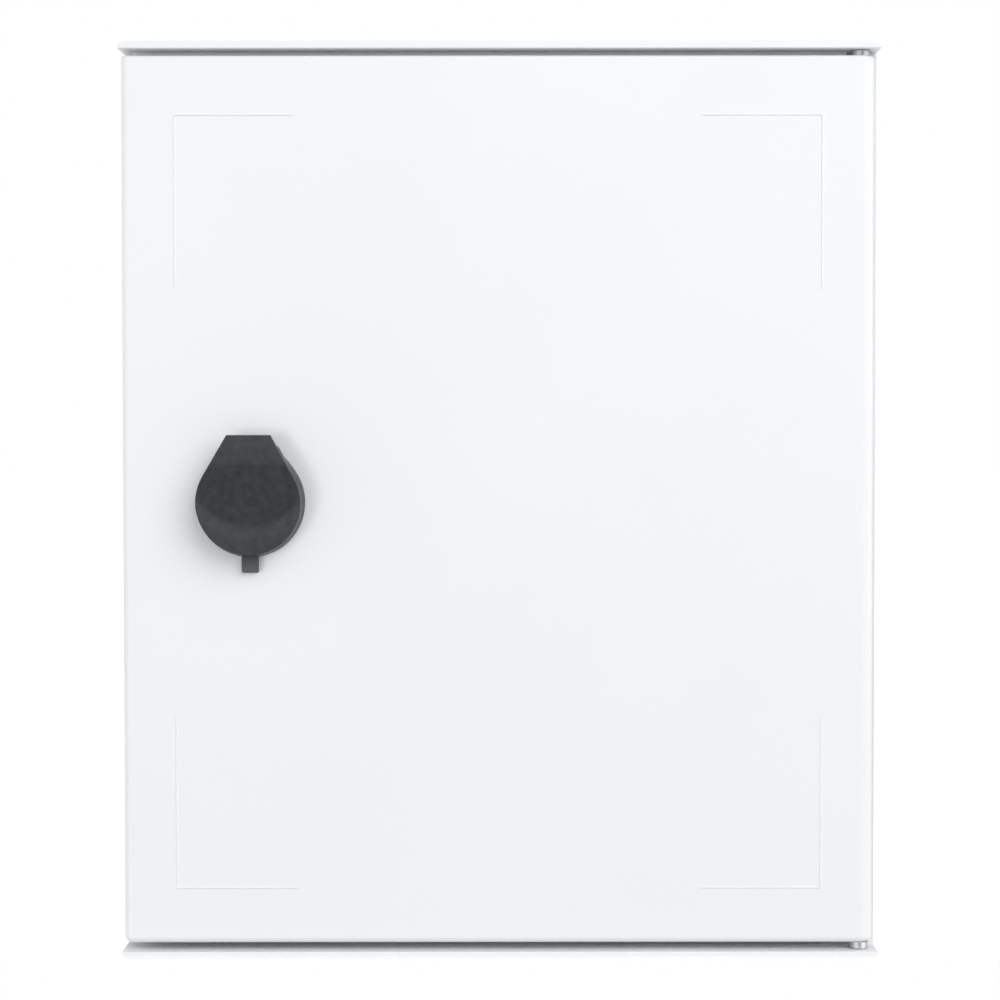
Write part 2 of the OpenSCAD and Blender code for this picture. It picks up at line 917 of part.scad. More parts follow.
// Space in front of the cap's two slopes, moved back by the wall for the inside
module cap_slopes(back) {
    slope = atan2(cap_slope_drop, cap_top - cap_slope_z);
    lower_run = cap_r + cap_smile_z;
    translate([0, cap_front_y + back, cap_slope_z])
        rotate([-slope, 0, 0])
            translate([-cap_r, -cap_height, 0])
                cube([2 * cap_r, cap_height, 2 * cap_top]);
    translate([0, cap_front_y + back, cap_smile_z])
        rotate([90, 0, 0])
            rotate_extrude()
                polygon([
                    [cap_smile_r, 0],
                    [cap_smile_r + lower_run, -lower_run * tan(cap_smile_angle)],
                    [cap_smile_r + lower_run, cap_height],
                    [cap_smile_r, cap_height]
                ]);
}

// Diameter of the round part at a depth
function cap_d(y) = 2 * (cap_front_r + cap_draft * (y - cap_front_y) / (cap_back_y - cap_front_y));

module cap_solid(inset, back_y) {
    face_y = cap_front_y + inset;
    difference() {
        union() {
            slab(face_y, back_y)
                cap_peak(inset);
            cone(face_y, back_y, cap_d(face_y) - 2 * inset, cap_d(back_y) - 2 * inset);
        }
        cap_slopes(inset);
    }
}

// Cheeks inside the cap that turn on the pin
module cap_cheeks() {
    for (side = [-1, 1])
        translate([side * (lug_w / 2 + slot_gap + cheek_t / 2), 0, 0])
            across(-cheek_t / 2, cheek_t / 2)
                union() {
                    translate([cap_pin_y, cap_pin_z])
                        circle(cheek_r);
                    span(cap_front_y + cap_t + cap_slope_drop / 2, cap_pin_z - cheek_r,
                        cap_pin_y, cap_pin_z + cheek_r);
                }
}

// Room behind the pin, so that the top edge passes the bezel when the cap flips up
module cap_swing_relief() {
    translate([-cap_r, cap_pin_y - slot_gap, cap_pin_z])
        cube([2 * cap_r, cap_height, cap_top]);
}

module lock_cap() {
    slot_w = lug_w + 2 * slot_gap;
    color(dark_plastic)
        at_latch()
            difference() {
                union() {
                    difference() {
                        cap_solid(0, cap_back_y);
                        cap_solid(cap_t, cap_back_y + overcut);
                        cap_swing_relief();
                    }
                    cap_cheeks();
                    slab(cap_back_y - tab_t, cap_back_y)
                        span(-tab_w / 2, -tab_low, tab_w / 2, -cap_r + cap_t / 2);
                }
                translate([-slot_w / 2, cap_pin_y - lug_r - slot_gap, cap_pin_z])
                    cube([slot_w, cap_height, cap_top]);
                at_cap_pin()
                    cylinder(h = cap_pin_len + 2 * slot_gap, d = cap_pin_d + 2 * running_gap, center = true);
            }
}

module cap_pin() {
    color(zinc_steel)
        at_latch()
            at_cap_pin()
                cylinder(h = cap_pin_len, d = cap_pin_d, center = true);
}

case_shell();
plate_inserts();
mounting_plate();
plate_washers();
plate_screws();
hinge_pins();
keeper_bracket();
keeper_rivets();
door_panel();
door_gasket();
hinge_bushes();
lock_housing();
lock_seal();
lock_nut();
cap_pin();
lock_core();
core_ring();
latch_cam();
cam_washer();
cam_screw();
lock_cap();
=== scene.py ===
"""Looks of a wall-mounting polyester enclosure, laid out as an add-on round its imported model."""
import json
from math import cos, hypot, inf, isfinite, pi, radians, sin, tan

import bmesh
import bpy
from bmesh.types import BMEdge, BMFace, BMVert
from bpy.props import FloatProperty, FloatVectorProperty, PointerProperty
from mathutils import Matrix, Vector


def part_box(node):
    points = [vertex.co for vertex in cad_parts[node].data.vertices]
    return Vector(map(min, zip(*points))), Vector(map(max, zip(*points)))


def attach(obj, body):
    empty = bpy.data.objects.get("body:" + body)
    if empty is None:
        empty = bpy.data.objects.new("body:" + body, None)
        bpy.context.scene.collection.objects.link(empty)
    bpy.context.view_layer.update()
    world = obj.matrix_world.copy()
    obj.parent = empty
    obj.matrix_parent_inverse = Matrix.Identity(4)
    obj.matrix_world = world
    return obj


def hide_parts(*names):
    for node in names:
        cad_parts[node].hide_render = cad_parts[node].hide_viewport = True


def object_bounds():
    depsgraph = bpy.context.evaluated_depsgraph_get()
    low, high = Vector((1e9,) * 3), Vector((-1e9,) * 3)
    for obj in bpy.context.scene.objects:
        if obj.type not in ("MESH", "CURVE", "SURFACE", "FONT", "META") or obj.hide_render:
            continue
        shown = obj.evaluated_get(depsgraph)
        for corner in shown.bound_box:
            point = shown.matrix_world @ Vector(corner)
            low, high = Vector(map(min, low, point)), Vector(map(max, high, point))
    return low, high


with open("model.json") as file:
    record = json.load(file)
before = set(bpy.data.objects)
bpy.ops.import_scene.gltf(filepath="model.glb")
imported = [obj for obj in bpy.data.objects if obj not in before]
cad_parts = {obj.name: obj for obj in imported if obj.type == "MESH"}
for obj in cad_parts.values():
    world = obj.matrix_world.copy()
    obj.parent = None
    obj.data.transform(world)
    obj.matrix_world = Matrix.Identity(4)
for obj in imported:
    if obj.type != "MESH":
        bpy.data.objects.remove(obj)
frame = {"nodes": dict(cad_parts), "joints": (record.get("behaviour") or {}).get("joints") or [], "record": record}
CAD_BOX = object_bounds()

bl_info = {
    "name": "Polyester enclosure",
    "version": (1, 0, 0),
    "blender": (4, 5, 0),
    "location": "View3D > Sidebar > Enclosure",
    "description": "Builds the moulded case, door, hinge, latch, dust cap and mounting plate",
    "category": "Object",
}

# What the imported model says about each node
BODY_OF = {node: body for body, nodes in frame["record"]["behaviour"]["bodies"].items() for node in nodes}
SLOT_OF = {part["node"]: part["material_slot"] for part in frame["record"]["subparts"]}

# Places that the door, the latch and the dust cap turn about
JOINT_AT = {joint["name"]: Vector(joint["pos_m"]) for joint in frame["joints"]}
HINGE = JOINT_AT["door_hinge"]
LATCH = JOINT_AT["latch_turn"]
PIN = JOINT_AT["cap_flip"]

# Vertices closer than MERGE are one, and levels closer than NEAR are the same
MERGE = 1e-6
NEAR = 10 * MERGE

# Faces that meet below FLAT are one, edges above CREASE are shaded sharp and those above SHARP rounded
FLAT = radians(0.5)
CREASE = radians(35.0)
SHARP = radians(50.0)

# A face looks along an axis when its normal's share along it is above this
ALONG = 0.9

# Places of the level and the upright axis in a vector
X = 0
Z = 2

# Radii of the door's knuckles and their bores, as shares of the round of its hinge edge
KNUCKLE_SHARE = 0.93
BORE_SHARE = 0.43

# Radius of the latch's barrel, as a share of its seal's
BARREL_SHARE = 0.74

# Round of the door's lower edge, as a share of that beside the latch
LOWER_SHARE = 0.97

# The cap's draft fades out over this share of the way from its round part to its top corners
FADE_SHARE = 0.25

# Sockets for colours of the Mix node
COLOUR_A = 6
COLOUR_B = 7
COLOUR_OUT = 2

# Vertex attribute for the painted light on the finger tab, paler towards its end, from 0 to 1
TAB_LIGHT = "wear"


# Kinds of settings that a user may change


def number(label, words, default):
    """A plain number."""
    return FloatProperty(name=label, description=words, default=default)


def length(label, words, default):
    """A length in metres."""
    return FloatProperty(name=label, description=words, default=default, min=0.0, precision=5, unit="LENGTH")


def colour(label, words, default):
    """A colour."""
    return FloatVectorProperty(
        name=label, description=words, default=default, min=0.0, max=1.0, size=3, subtype="COLOR"
    )


def watts(label, words, default):
    """A lamp's power."""
    return FloatProperty(name=label, description=words, default=default, min=0.0, unit="POWER")


def position(label, words, default):
    """A place in metres."""
    return FloatVectorProperty(name=label, description=words, default=default, subtype="TRANSLATION")


class EnclosureSizes(bpy.types.PropertyGroup):
    """Sizes of the forms that the pieces are modelled from."""

    door_wall: length("Door wall", "Thickness of the door's face and skirts", 0.003)
    top_round: length("Top edge", "Round of the door's upper edge", 0.0011)
    free_round: length("Free edges", "Round of the lower edge and the latch side", 0.0024)
    hinge_round: length("Hinge edge", "Round of the door's hinge edge", 0.0042)
    skirt_end: length("Skirt end", "From the hinge axis to the end of the deep skirts", 0.0105)
    knuckle_length: length("Knuckles", "Length of the hinge edge's knuckles", 0.026)
    line_width: length("Line width", "Width of the corner lines", 0.0008)
    line_height: length("Line height", "Height of the corner lines", 0.00035)
    line_inset_x: length("Side inset", "From the door's sides to the lines", 0.0174)
    line_inset_z: length("End inset", "Mean, from the door's ends to the lines", 0.0190)
    line_drop: length("Line drop", "How far all lines sit below the middle", 0.0006)
    line_level: length("Level lines", "Length of the level corner lines", 0.0425)
    line_upright: length("Upright lines", "Length of the upright corner lines", 0.060)
    line_fade: length("Line fade", "Length of the lines' sinking ends", 0.004)
    rib_width: length("Gasket ribs", "Thickness of the gasket's ribs", 0.0015)
    rib_height: length("Rib height", "Height of the gasket's ribs", 0.0025)
    barrel_room: length("Barrel room", "Room round the latch barrel in the door", 0.0002)
    bead_inset: length("Bead inset", "From the upper lip's front to the drip bead", 0.0122)
    bead_width: length("Bead width", "Depth of the drip bead", 0.003)
    bead_room: length("Bead room", "Room between the drip bead and the door", 0.0005)
    lip_round: length("Lip edge", "Round of the upper lip's front edges", 0.0004)
    low_lip_round: length("Lower lip edge", "Round of the lower lip's front edges", 0.0011)
    moulded_edge: length("Moulded edges", "Round of the moulded edges", 0.0005)
    metal_edge: length("Metal edges", "Round of the metal pieces' edges", 0.0002)
    gasket_width: length("Gasket width", "Width of the foamed gasket", 0.007)
    gasket_radius: length("Gasket corners", "Outer corner radius of the gasket", 0.0107)
    gasket_crown: length("Gasket crown", "Round of the gasket's edges", 0.0016)
    cap_pin: length("Cap pin", "Diameter of the dust cap's pin", 0.002)
    cap_pin_room: length("Pin room", "Room between the cap's pin and its bores", 0.00005)
    cheek_width: length("Cheek width", "Width of the cap's cheeks on its pin", 0.0025)
    cheek_radius: length("Cheek radius", "Radius of the cheeks round the pin", 0.0028)
    cap_wall_room: length("Wall room", "From the walls above the pin to its axis", 0.0004)
    cap_wall: length("Cap wall", "Wall of the dust cap", 0.0013)
    cap_radius: length("Cap radius", "Radius of the cap's round part at its front", 0.01745)
    cap_draft: length("Cap draft", "How much wider the round part is at its rim", 0.00095)
    cap_top_width: length("Cap top width", "Width of the cap's flat top edge", 0.0145)
    cap_round: length("Cap edge", "Round of the cap's front edge", 0.0007)
    cap_slope_start: length("Upper slope", "Height of its start above the latch", 0.0127)
    cap_slope_drop: length("Upper drop", "How far the upper slope falls back", 0.0018)
    cap_smile_radius: length("Lower slope", "Radius of the lower slope's curved start", 0.0218)
    cap_smile_low: length("Lower start", "Lowest point of that start below the latch", 0.0081)
    cap_slope_bow: number("Upper bow", "How much steeper than its mean the upper slope starts", -0.22)
    cap_smile_bow: number("Lower bow", "How much steeper than its mean the lower slope starts", 0.42)
    tab_round: length("Tab edge", "Round of the finger tab's front edges", 0.0008)
    tab_lean: length("Tab lean", "How far the tab leans back at its end", 0.0017)
    cap_crease: length("Upper blend", "Width of the upper slope's round start", 0.0003)
    cap_blend: length("Lower blend", "Width of the lower slope's round start", 0.0012)
    cap_grid: length("Cap grid", "Size of the faces of the cap's front", 0.0007)
    tab_width: length("Finger tab", "Width of the finger tab", 0.0058)
    tab_thickness: length("Tab thickness", "Thickness of the finger tab", 0.0022)
    cap_smile_angle: FloatProperty(
        name="Lower angle", description="Steepness of the cap's lower slope",
        default=radians(15), min=0.0, max=radians(40), subtype="ANGLE",
    )


class EnclosureColours(bpy.types.PropertyGroup):
    """Colours of the pieces."""

    polyester: colour("Polyester", "Light grey glass-fibre polyester", (0.872, 0.882, 0.896))
    dark_plastic: colour("Dark plastic", "Satin dark grey plastic", (0.0178, 0.0188, 0.0208))
    grey_plastic: colour("Grey plastic", "Mid-grey bearing plastic", (0.22, 0.22, 0.225))
    zinc_steel: colour("Zinc steel", "Zinc-plated steel", (0.62, 0.64, 0.66))
    zinc_casting: colour("Zinc casting", "Dull zinc die casting", (0.52, 0.53, 0.54))
    brass: colour("Brass", "Turned brass", (0.76, 0.58, 0.27))
    black_rubber: colour("Rubber", "Black rubber", (0.018, 0.018, 0.020))
    foam: colour("Foam", "Dark grey foamed seal", (0.045, 0.046, 0.048))


class StageSettings(bpy.types.PropertyGroup):
    """Camera, lamps and floor."""

    camera_place: position("Camera", "Place of the camera", (-0.0009, -1.080, 0.0284))
    camera_turn: FloatVectorProperty(
        name="Camera turn", description="Turn of the camera",
        default=(radians(88.273), radians(0.04), radians(-0.06)), subtype="EULER",
    )
    lens: number("Lens", "Focal length in millimetres", 98.58)
    key_power: watts("Key lamp", "Power of the lamp at the upper right", 24.0)
    key_size: length("Key size", "Width of the key lamp", 1.8)
    key_place: position("Key place", "Place of the key lamp", (0.924, -1.644, 1.008))
    fill_power: watts("Fill lamp", "Power of the low lamp at the front left", 19.2)
    fill_size: length("Fill size", "Width of the fill lamp", 1.0)
    fill_place: position("Fill place", "Place of the fill lamp", (-1.4, -3.0, -0.3))
    side_power: watts("Side lamps", "Power of each lamp beside the object", 2.0)
    side_size: length("Side size", "Width of the lamps beside the object", 0.8)
    side_distance: length("Side distance", "Distance of the lamps beside the object", 1.0)
    world_light: number("Room light", "Strength of the even light all round", 0.48)
    floor: colour("Floor", "Colour of the floor", (0.93, 0.93, 0.93))
    floor_front: length("Floor front", "How far the floor reaches in front of the case", 0.001)
    floor_reach: length("Floor reach", "Half the width of the floor", 4.0)
    floor_glow: number("Floor glow", "Light that the camera sees the floor give", 0.6)


# Mesh helpers


def add_object(name, data):
    """A new object of the scene."""
    made = bpy.data.objects.new(name, data)
    bpy.context.scene.collection.objects.link(made)
    return made


def mesh_object(bm, name, finish):
    """A new object of the scene from a bmesh."""
    mesh = bpy.data.meshes.new(name)
    bm.to_mesh(mesh)
    bm.free()
    mesh.materials.append(finish)
    return add_object(name, mesh)


def make_piece(bm, name, node):
    """Turns a bmesh into a piece that stands for a node, in its finish, and rides with its body."""
    bmesh.ops.remove_doubles(bm, verts=bm.verts, dist=MERGE)
    piece = mesh_object(bm, name, finish_of(node))
    piece.data.shade_smooth()
    piece.data.set_sharp_from_angle(angle=CREASE)
    shading = piece.modifiers.new("Even shading", "WEIGHTED_NORMAL")
    shading.keep_sharp = True
    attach(piece, BODY_OF[node])
    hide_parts(node)


def face_out(bm):
    """Merges doubles and turns every closed shell's faces outwards."""
    bmesh.ops.remove_doubles(bm, verts=bm.verts, dist=MERGE)
    bmesh.ops.recalc_face_normals(bm, faces=bm.faces)


def copy_of(node):
    """A merged copy of a node's solid, with its flat faces whole."""
    bm = bmesh.new()
    bm.from_mesh(frame["nodes"][node].data)
    bmesh.ops.remove_doubles(bm, verts=bm.verts, dist=NEAR)
    bmesh.ops.dissolve_limit(bm, angle_limit=FLAT, verts=bm.verts, edges=bm.edges)
    return bm


def sharp_edges(bm, test=lambda vert: True):
    """Edges where two faces meet sharply, and whose ends pass a test."""
    edges = [edge for edge in bm.edges if edge.is_manifold and edge.calc_face_angle() > SHARP]
    return [edge for edge in edges if all(test(vert) for vert in edge.verts)]


def round_off(bm, geom, width, segments, affect="EDGES"):
    """Rounds edges, or the corners of a flat face."""
    bmesh.ops.bevel(
        bm, geom=geom, offset=width, segments=segments, profile=0.5,
        affect=affect, material=-1, clamp_overlap=True,
    )


def only(kind, geom):
    """The vertices, edges or faces among an operator's results."""
    return [item for item in geom if isinstance(item, kind)]


def new_items(items, known):
    """The edges or faces of a bmesh that aren't among the known ones."""
    return [item for item in items if item not in known]


def push(bm, faces, shift):
    """Extrudes faces into a solid by a shift."""
    made = bmesh.ops.extrude_face_region(bm, geom=faces)["geom"]
    bmesh.ops.translate(bm, verts=only(BMVert, made), vec=shift)


def chain(bm, points, closed=False):
    """Vertices at the points, joined by edges in a row."""
    verts = [bm.verts.new(point) for point in points]
    ends = verts[1:] + verts[:1] if closed else verts[1:]
    return verts, [bm.edges.new(pair) for pair in zip(verts, ends)]


def turned(bm, profile, centre, axis, steps):
    """Spins a closed profile, given as radius and distance along the axis."""
    axis = Vector(axis)
    side = axis.orthogonal().normalized()
    points = [Vector(centre) + side * radius + axis * along for radius, along in profile]
    verts, edges = chain(bm, points, closed=True)
    bmesh.ops.spin(
        bm, geom=verts + edges, cent=centre, axis=axis, angle=2 * pi, steps=steps, use_merge=True
    )


def ring_loop(bm, centre, axis, radius, steps=48):
    """Edges of a circle round an axis."""
    turn = Vector((0, 0, 1)).rotation_difference(Vector(axis)).to_matrix().to_4x4()
    made = bmesh.ops.create_circle(
        bm, segments=steps, radius=radius, matrix=Matrix.Translation(centre) @ turn
    )
    return list(dict.fromkeys(edge for vert in made["verts"] for edge in vert.link_edges))


def arch(bm, start, centre, axis, angle, corners, steps):
    """Draws an arc, joins its ends over two corners, and returns the edges that join them."""
    first = bm.verts.new(start)
    made = bmesh.ops.spin(bm, geom=[first], cent=centre, axis=axis, angle=angle, steps=steps)
    last = only(BMVert, made["geom_last"])[0]
    ends = [bm.verts.new(corner) for corner in corners]
    return [bm.edges.new(pair) for pair in ((first, ends[0]), ends, (ends[1], last))]


def pierce(bm, faces, centre, axis, radius):
    """Bores a round hole through two flat faces that lie behind each other."""
    loops = []
    for face in faces:
        border = list(face.edges)
        level = Vector(centre) + Vector(axis) * (face.verts[0].co - Vector(centre)).dot(Vector(axis))
        bmesh.ops.delete(bm, geom=[face], context="FACES_ONLY")
        loop = ring_loop(bm, level, axis, radius)
        bmesh.ops.triangle_fill(bm, use_beauty=True, edges=border + loop)
        loops += loop
    bmesh.ops.bridge_loops(bm, edges=loops)


def flat_face(bm, axis, level):
    """The largest face square to an axis at a level along it."""
    axis = Vector(axis)
    found = [
        face for face in bm.faces
        if abs(face.calc_center_median().dot(axis) - level) < NEAR and abs(face.normal.dot(axis)) > ALONG
    ]
    return max(found, key=lambda face: face.calc_area())


def rounded_face(bm, low, high, y, radius, segments=8):
    """A face in x and z with round corners."""
    known = set(bm.faces)
    corners = ((low[0], low[1]), (high[0], low[1]), (high[0], high[1]), (low[0], high[1]))
    face = bm.faces.new([bm.verts.new((x, y, z)) for x, z in corners])
    round_off(bm, list(face.verts), radius, segments, affect="VERTICES")
    return new_items(bm.faces, known)[0]


def ring_frame(bm, low, high, radius, width, y_front, y_back):
    """A frame of even width inside a rounded outline, between two depths."""
    face = rounded_face(bm, low, high, y_front, radius)
    ring = bmesh.ops.inset_region(
        bm, faces=[face], thickness=width, use_even_offset=True, use_boundary=True
    )["faces"]
    bmesh.ops.delete(bm, geom=[face], context="FACES_ONLY")
    push(bm, ring, (0, y_back - y_front, 0))


# Shared surface effects


def place(tree, kind, values=None, **settings):
    """Adds a node, sets its properties, and links or sets its inputs."""
    made = tree.nodes.new("ShaderNode" + kind)
    for key, value in settings.items():
        setattr(made, key, value)
    for key, value in (values or {}).items():
        if isinstance(value, bpy.types.NodeSocket):
            tree.links.new(value, made.inputs[key])
        else:
            made.inputs[key].default_value = value
    return made


def noise(tree, vector, scale, detail=2.0):
    """A smooth random value from 0 to 1."""
    made = place(tree, "TexNoise", {"Vector": vector, "Scale": scale, "Detail": detail})
    return made.outputs["Fac"]


def maths(tree, operation, first, second):
    return place(tree, "Math", {0: first, 1: second}, operation=operation).outputs[0]


def weigh(tree, first, second, share):
    """Two values added up, where the first counts for this share and the second for the rest."""
    part = maths(tree, "MULTIPLY", first, share)
    return maths(tree, "ADD", part, maths(tree, "MULTIPLY", second, 1 - share))


def spread(tree, value, low, high, to_low=0.0, to_high=1.0):
    """Stretches part of a value's range onto another range."""
    values = {"Value": value, "From Min": low, "From Max": high, "To Min": to_low, "To Max": to_high}
    return place(tree, "MapRange", values).outputs["Result"]


def between(tree, mask, low, high):
    """The low value where the mask is 0 and the high one where it is 1."""
    return spread(tree, mask, 0.0, 1.0, low, high)


def tint(tree, mask, first, second):
    """The first colour where the mask is 0 and the second where it is 1; either may be a socket."""
    mixed = place(tree, "Mix", {0: mask, COLOUR_A: first, COLOUR_B: second}, data_type="RGBA")
    return mixed.outputs[COLOUR_OUT]


def new_effect(name, scale_label, outputs):
    """A node group with a vector and a scale going in, and the named values coming out."""
    tree = bpy.data.node_groups.new(name, "ShaderNodeTree")
    tree.interface.new_socket("Vector", in_out="INPUT", socket_type="NodeSocketVector")
    tree.interface.new_socket(scale_label, in_out="INPUT", socket_type="NodeSocketFloat")
    for label in outputs:
        tree.interface.new_socket(label, in_out="OUTPUT", socket_type="NodeSocketFloat")
    entry = tree.nodes.new("NodeGroupInput").outputs
    return tree, entry["Vector"], entry[scale_label], tree.nodes.new("NodeGroupOutput").inputs


def make_moulded_grain():
    """The skin of a pressed moulding: fine grain, shallow waves and a slow change of tone."""
    tree, vector, scale, out = new_effect("moulded_grain", "Grain", ("Height", "Tone"))
    fine = noise(tree, vector, scale)
    waves = noise(tree, vector, maths(tree, "MULTIPLY", scale, 0.14), detail=1.0)
    slow = noise(tree, vector, maths(tree, "MULTIPLY", scale, 0.012), detail=3.0)
    tree.links.new(weigh(tree, fine, waves, 0.3), out["Height"])
    tree.links.new(spread(tree, weigh(tree, slow, fine, 0.75), 0.3, 0.7), out["Tone"])


def make_mottle():
    """Fine uneven tone of a coloured plastic."""
    tree, vector, scale, out = new_effect("mottle", "Fineness", ("Tone",))
    tree.links.new(spread(tree, noise(tree, vector, scale, detail=4.0), 0.35, 0.65), out["Tone"])


def make_edge_rub():
    """Rubbed convex edges, broken up by a noise."""
    tree, vector, scale, out = new_effect("edge_rub", "Patches", ("Mask",))
    edge = spread(tree, place(tree, "NewGeometry").outputs["Pointiness"], 0.52, 0.62)
    patches = spread(tree, noise(tree, vector, scale, detail=4.0), 0.35, 0.65)
    tree.links.new(maths(tree, "MULTIPLY", edge, patches), out["Mask"])


def make_painted_slope_sheen():
    """Painted sheen: paler colour where a face leans away from the front of its moulding, standing in for the
    light and reflections that its slopes catch, broken up by a noise.
    """
    tree, vector, scale, out = new_effect("slope_bloom", "Patches", ("Mask",))
    normal = place(tree, "TexCoord").outputs["Normal"]
    sideways = place(tree, "VectorMath", {0: normal, 1: (1, 0, 1)}, operation="MULTIPLY")
    sideways = sideways.outputs["Vector"]
    lean = place(tree, "VectorMath", {0: sideways}, operation="LENGTH").outputs["Value"]
    patches = spread(tree, noise(tree, vector, scale, detail=3.0), 0.3, 0.7, 0.5, 1.0)
    slopes = spread(tree, lean, 0.02, 0.38)
    walls = spread(tree, lean, 0.5, 0.9, 1.0, 0.1)
    painted_sheen = maths(tree, "MULTIPLY", slopes, walls)
    tree.links.new(maths(tree, "MULTIPLY", painted_sheen, patches), out["Mask"])


def make_smudges():
    """Soft patches where hands and cloths have been."""
    tree, vector, scale, out = new_effect("smudges", "Patches", ("Mask",))
    tree.links.new(spread(tree, noise(tree, vector, scale, detail=5.0), 0.35, 0.7), out["Mask"])


def make_brushed():
    """Fine scratches that run level along x."""
    tree, vector, scale, out = new_effect("brushed", "Fineness", ("Height",))
    drawn = place(tree, "Mapping", {"Vector": vector, "Scale": (0.02, 1.0, 1.0)}).outputs["Vector"]
    tree.links.new(noise(tree, drawn, scale, detail=3.0), out["Height"])


def make_spangle():
    """Crystals of a zinc coat."""
    tree, vector, scale, out = new_effect("spangle", "Fineness", ("Tone",))
    bent = place(tree, "TexNoise", {"Vector": vector, "Scale": scale}).outputs["Color"]
    moved = place(tree, "VectorMath", {0: bent, 1: (0.004, 0.004, 0.004)}, operation="MULTIPLY")
    where = place(tree, "VectorMath", {0: vector, 1: moved.outputs[0]}, operation="ADD").outputs[0]
    cells = place(tree, "TexVoronoi", {"Vector": where, "Scale": scale}).outputs["Color"]
    tree.links.new(place(tree, "SeparateColor", {"Color": cells}).outputs["Red"], out["Tone"])


def make_pores():
    """Small open pores of a foamed skin."""
    tree, vector, scale, out = new_effect("pores", "Fineness", ("Height", "Tone"))
    cells = place(tree, "TexVoronoi", {"Vector": vector, "Scale": scale}).outputs["Distance"]
    tree.links.new(spread(tree, cells, 0.05, 0.45), out["Height"])
    tree.links.new(noise(tree, vector, maths(tree, "MULTIPLY", scale, 0.2), detail=3.0), out["Tone"])


# Finishes


def effect(tree, name, vector, scale):
    """Places a shared effect in a material, and returns its outputs."""
    values = {"Vector": vector, 1: scale}
    return place(tree, "Group", values, node_tree=bpy.data.node_groups[name]).outputs


def new_finish(name):
    """An empty material with its shader and the piece's own coordinates."""
    finish = bpy.data.materials.new(name)
    finish.use_nodes = True
    tree = finish.node_tree
    tree.nodes.clear()
    shader = place(tree, "BsdfPrincipled")
    place(tree, "OutputMaterial", {"Surface": shader.outputs["BSDF"]})
    return finish, tree, shader, place(tree, "TexCoord").outputs["Object"]


def set_surface(tree, shader, base, roughness, height, strength, depth):
    """Joins colour, roughness and a bump to the shader."""
    tree.links.new(base, shader.inputs["Base Color"])
    tree.links.new(roughness, shader.inputs["Roughness"])
    bump = place(tree, "Bump", {"Height": height, "Strength": strength, "Distance": depth})
    tree.links.new(bump.outputs["Normal"], shader.inputs["Normal"])


def shade(base, factor):
    """A colour made lighter or darker, with an opaque alpha."""
    return (*(min(1.0, channel * factor) for channel in base), 1.0)


def polyester_finish(tree, shader, where, base):
    grain = effect(tree, "moulded_grain", where, scale=900.0)
    skin = tint(tree, grain["Tone"], shade(base, 0.985), shade(base, 1.01))
    smudges = effect(tree, "smudges", where, scale=25.0)["Mask"]
    roughness = between(tree, smudges, 0.40, 0.50)
    set_surface(tree, shader, skin, roughness, grain["Height"], strength=0.12, depth=0.0004)


def satin_plastic_finish(tree, shader, where, base):
    shader.inputs["Specular IOR Level"].default_value = 0.25
    grain = effect(tree, "moulded_grain", where, scale=2200.0)
    mottle = effect(tree, "mottle", where, scale=380.0)["Tone"]
    rub = effect(tree, "edge_rub", where, scale=300.0)["Mask"]
    smudges = effect(tree, "smudges", where, scale=90.0)["Mask"]
    skin = tint(tree, mottle, shade(base, 0.68), shade(base, 1.34))
    # Painted sheen: faces that lean back from the front are coloured paler, in place of the light they catch
    painted_sheen = effect(tree, "slope_bloom", where, scale=400.0)["Mask"]
    with_painted_sheen = tint(tree, painted_sheen, skin, shade(base, 4.0))
    rubbed = tint(tree, rub, with_painted_sheen, shade(base, 3.2))
    # Painted light: the finger tab is coloured paler towards its end
    wear = place(tree, "Attribute", attribute_name=TAB_LIGHT).outputs["Fac"]
    tab_lit_skin = tint(tree, wear, rubbed, shade(base, 6.5))
    roughness = between(tree, smudges, 0.36, 0.48)
    set_surface(tree, shader, tab_lit_skin, roughness, grain["Height"], strength=0.12, depth=0.0002)


def zinc_steel_finish(tree, shader, where, base):
    shader.inputs["Metallic"].default_value = 1.0
    crystals = effect(tree, "spangle", where, scale=160.0)["Tone"]
    scratches = effect(tree, "brushed", where, scale=2500.0)["Height"]
    smudges = effect(tree, "smudges", where, scale=60.0)["Mask"]
    skin = tint(tree, crystals, shade(base, 0.9), shade(base, 1.08))
    dulled = tint(tree, smudges, skin, shade(base, 0.86))
    roughness = between(tree, crystals, 0.30, 0.42)
    set_surface(tree, shader, dulled, roughness, scratches, strength=0.06, depth=0.0001)


def zinc_casting_finish(tree, shader, where, base):
    shader.inputs["Metallic"].default_value = 1.0
    grain = effect(tree, "moulded_grain", where, scale=3000.0)
    rub = effect(tree, "edge_rub", where, scale=500.0)["Mask"]
    skin = tint(tree, grain["Tone"], shade(base, 0.88), shade(base, 1.05))
    rubbed = tint(tree, rub, skin, shade(base, 1.3))
    roughness = between(tree, grain["Tone"], 0.44, 0.56)
    set_surface(tree, shader, rubbed, roughness, grain["Height"], strength=0.2, depth=0.0001)


def brass_finish(tree, shader, where, base):
    shader.inputs["Metallic"].default_value = 1.0
    smudges = effect(tree, "smudges", where, scale=400.0)["Mask"]
    scratches = effect(tree, "brushed", where, scale=4000.0)["Height"]
    skin = tint(tree, smudges, shade(base, 1.0), shade(base, 0.75))
    roughness = between(tree, smudges, 0.24, 0.40)
    set_surface(tree, shader, skin, roughness, scratches, strength=0.06, depth=0.0001)


def rubber_finish(tree, shader, where, base):
    grain = effect(tree, "moulded_grain", where, scale=2500.0)
    skin = tint(tree, grain["Tone"], shade(base, 1.0), shade(base, 1.5))
    roughness = between(tree, grain["Tone"], 0.55, 0.7)
    set_surface(tree, shader, skin, roughness, grain["Height"], strength=0.2, depth=0.0002)


def foam_finish(tree, shader, where, base):
    pores = effect(tree, "pores", where, scale=1400.0)
    skin = tint(tree, pores["Tone"], shade(base, 0.8), shade(base, 1.25))
    roughness = between(tree, pores["Tone"], 0.75, 0.9)
    set_surface(tree, shader, skin, roughness, pores["Height"], strength=0.5, depth=0.0003)


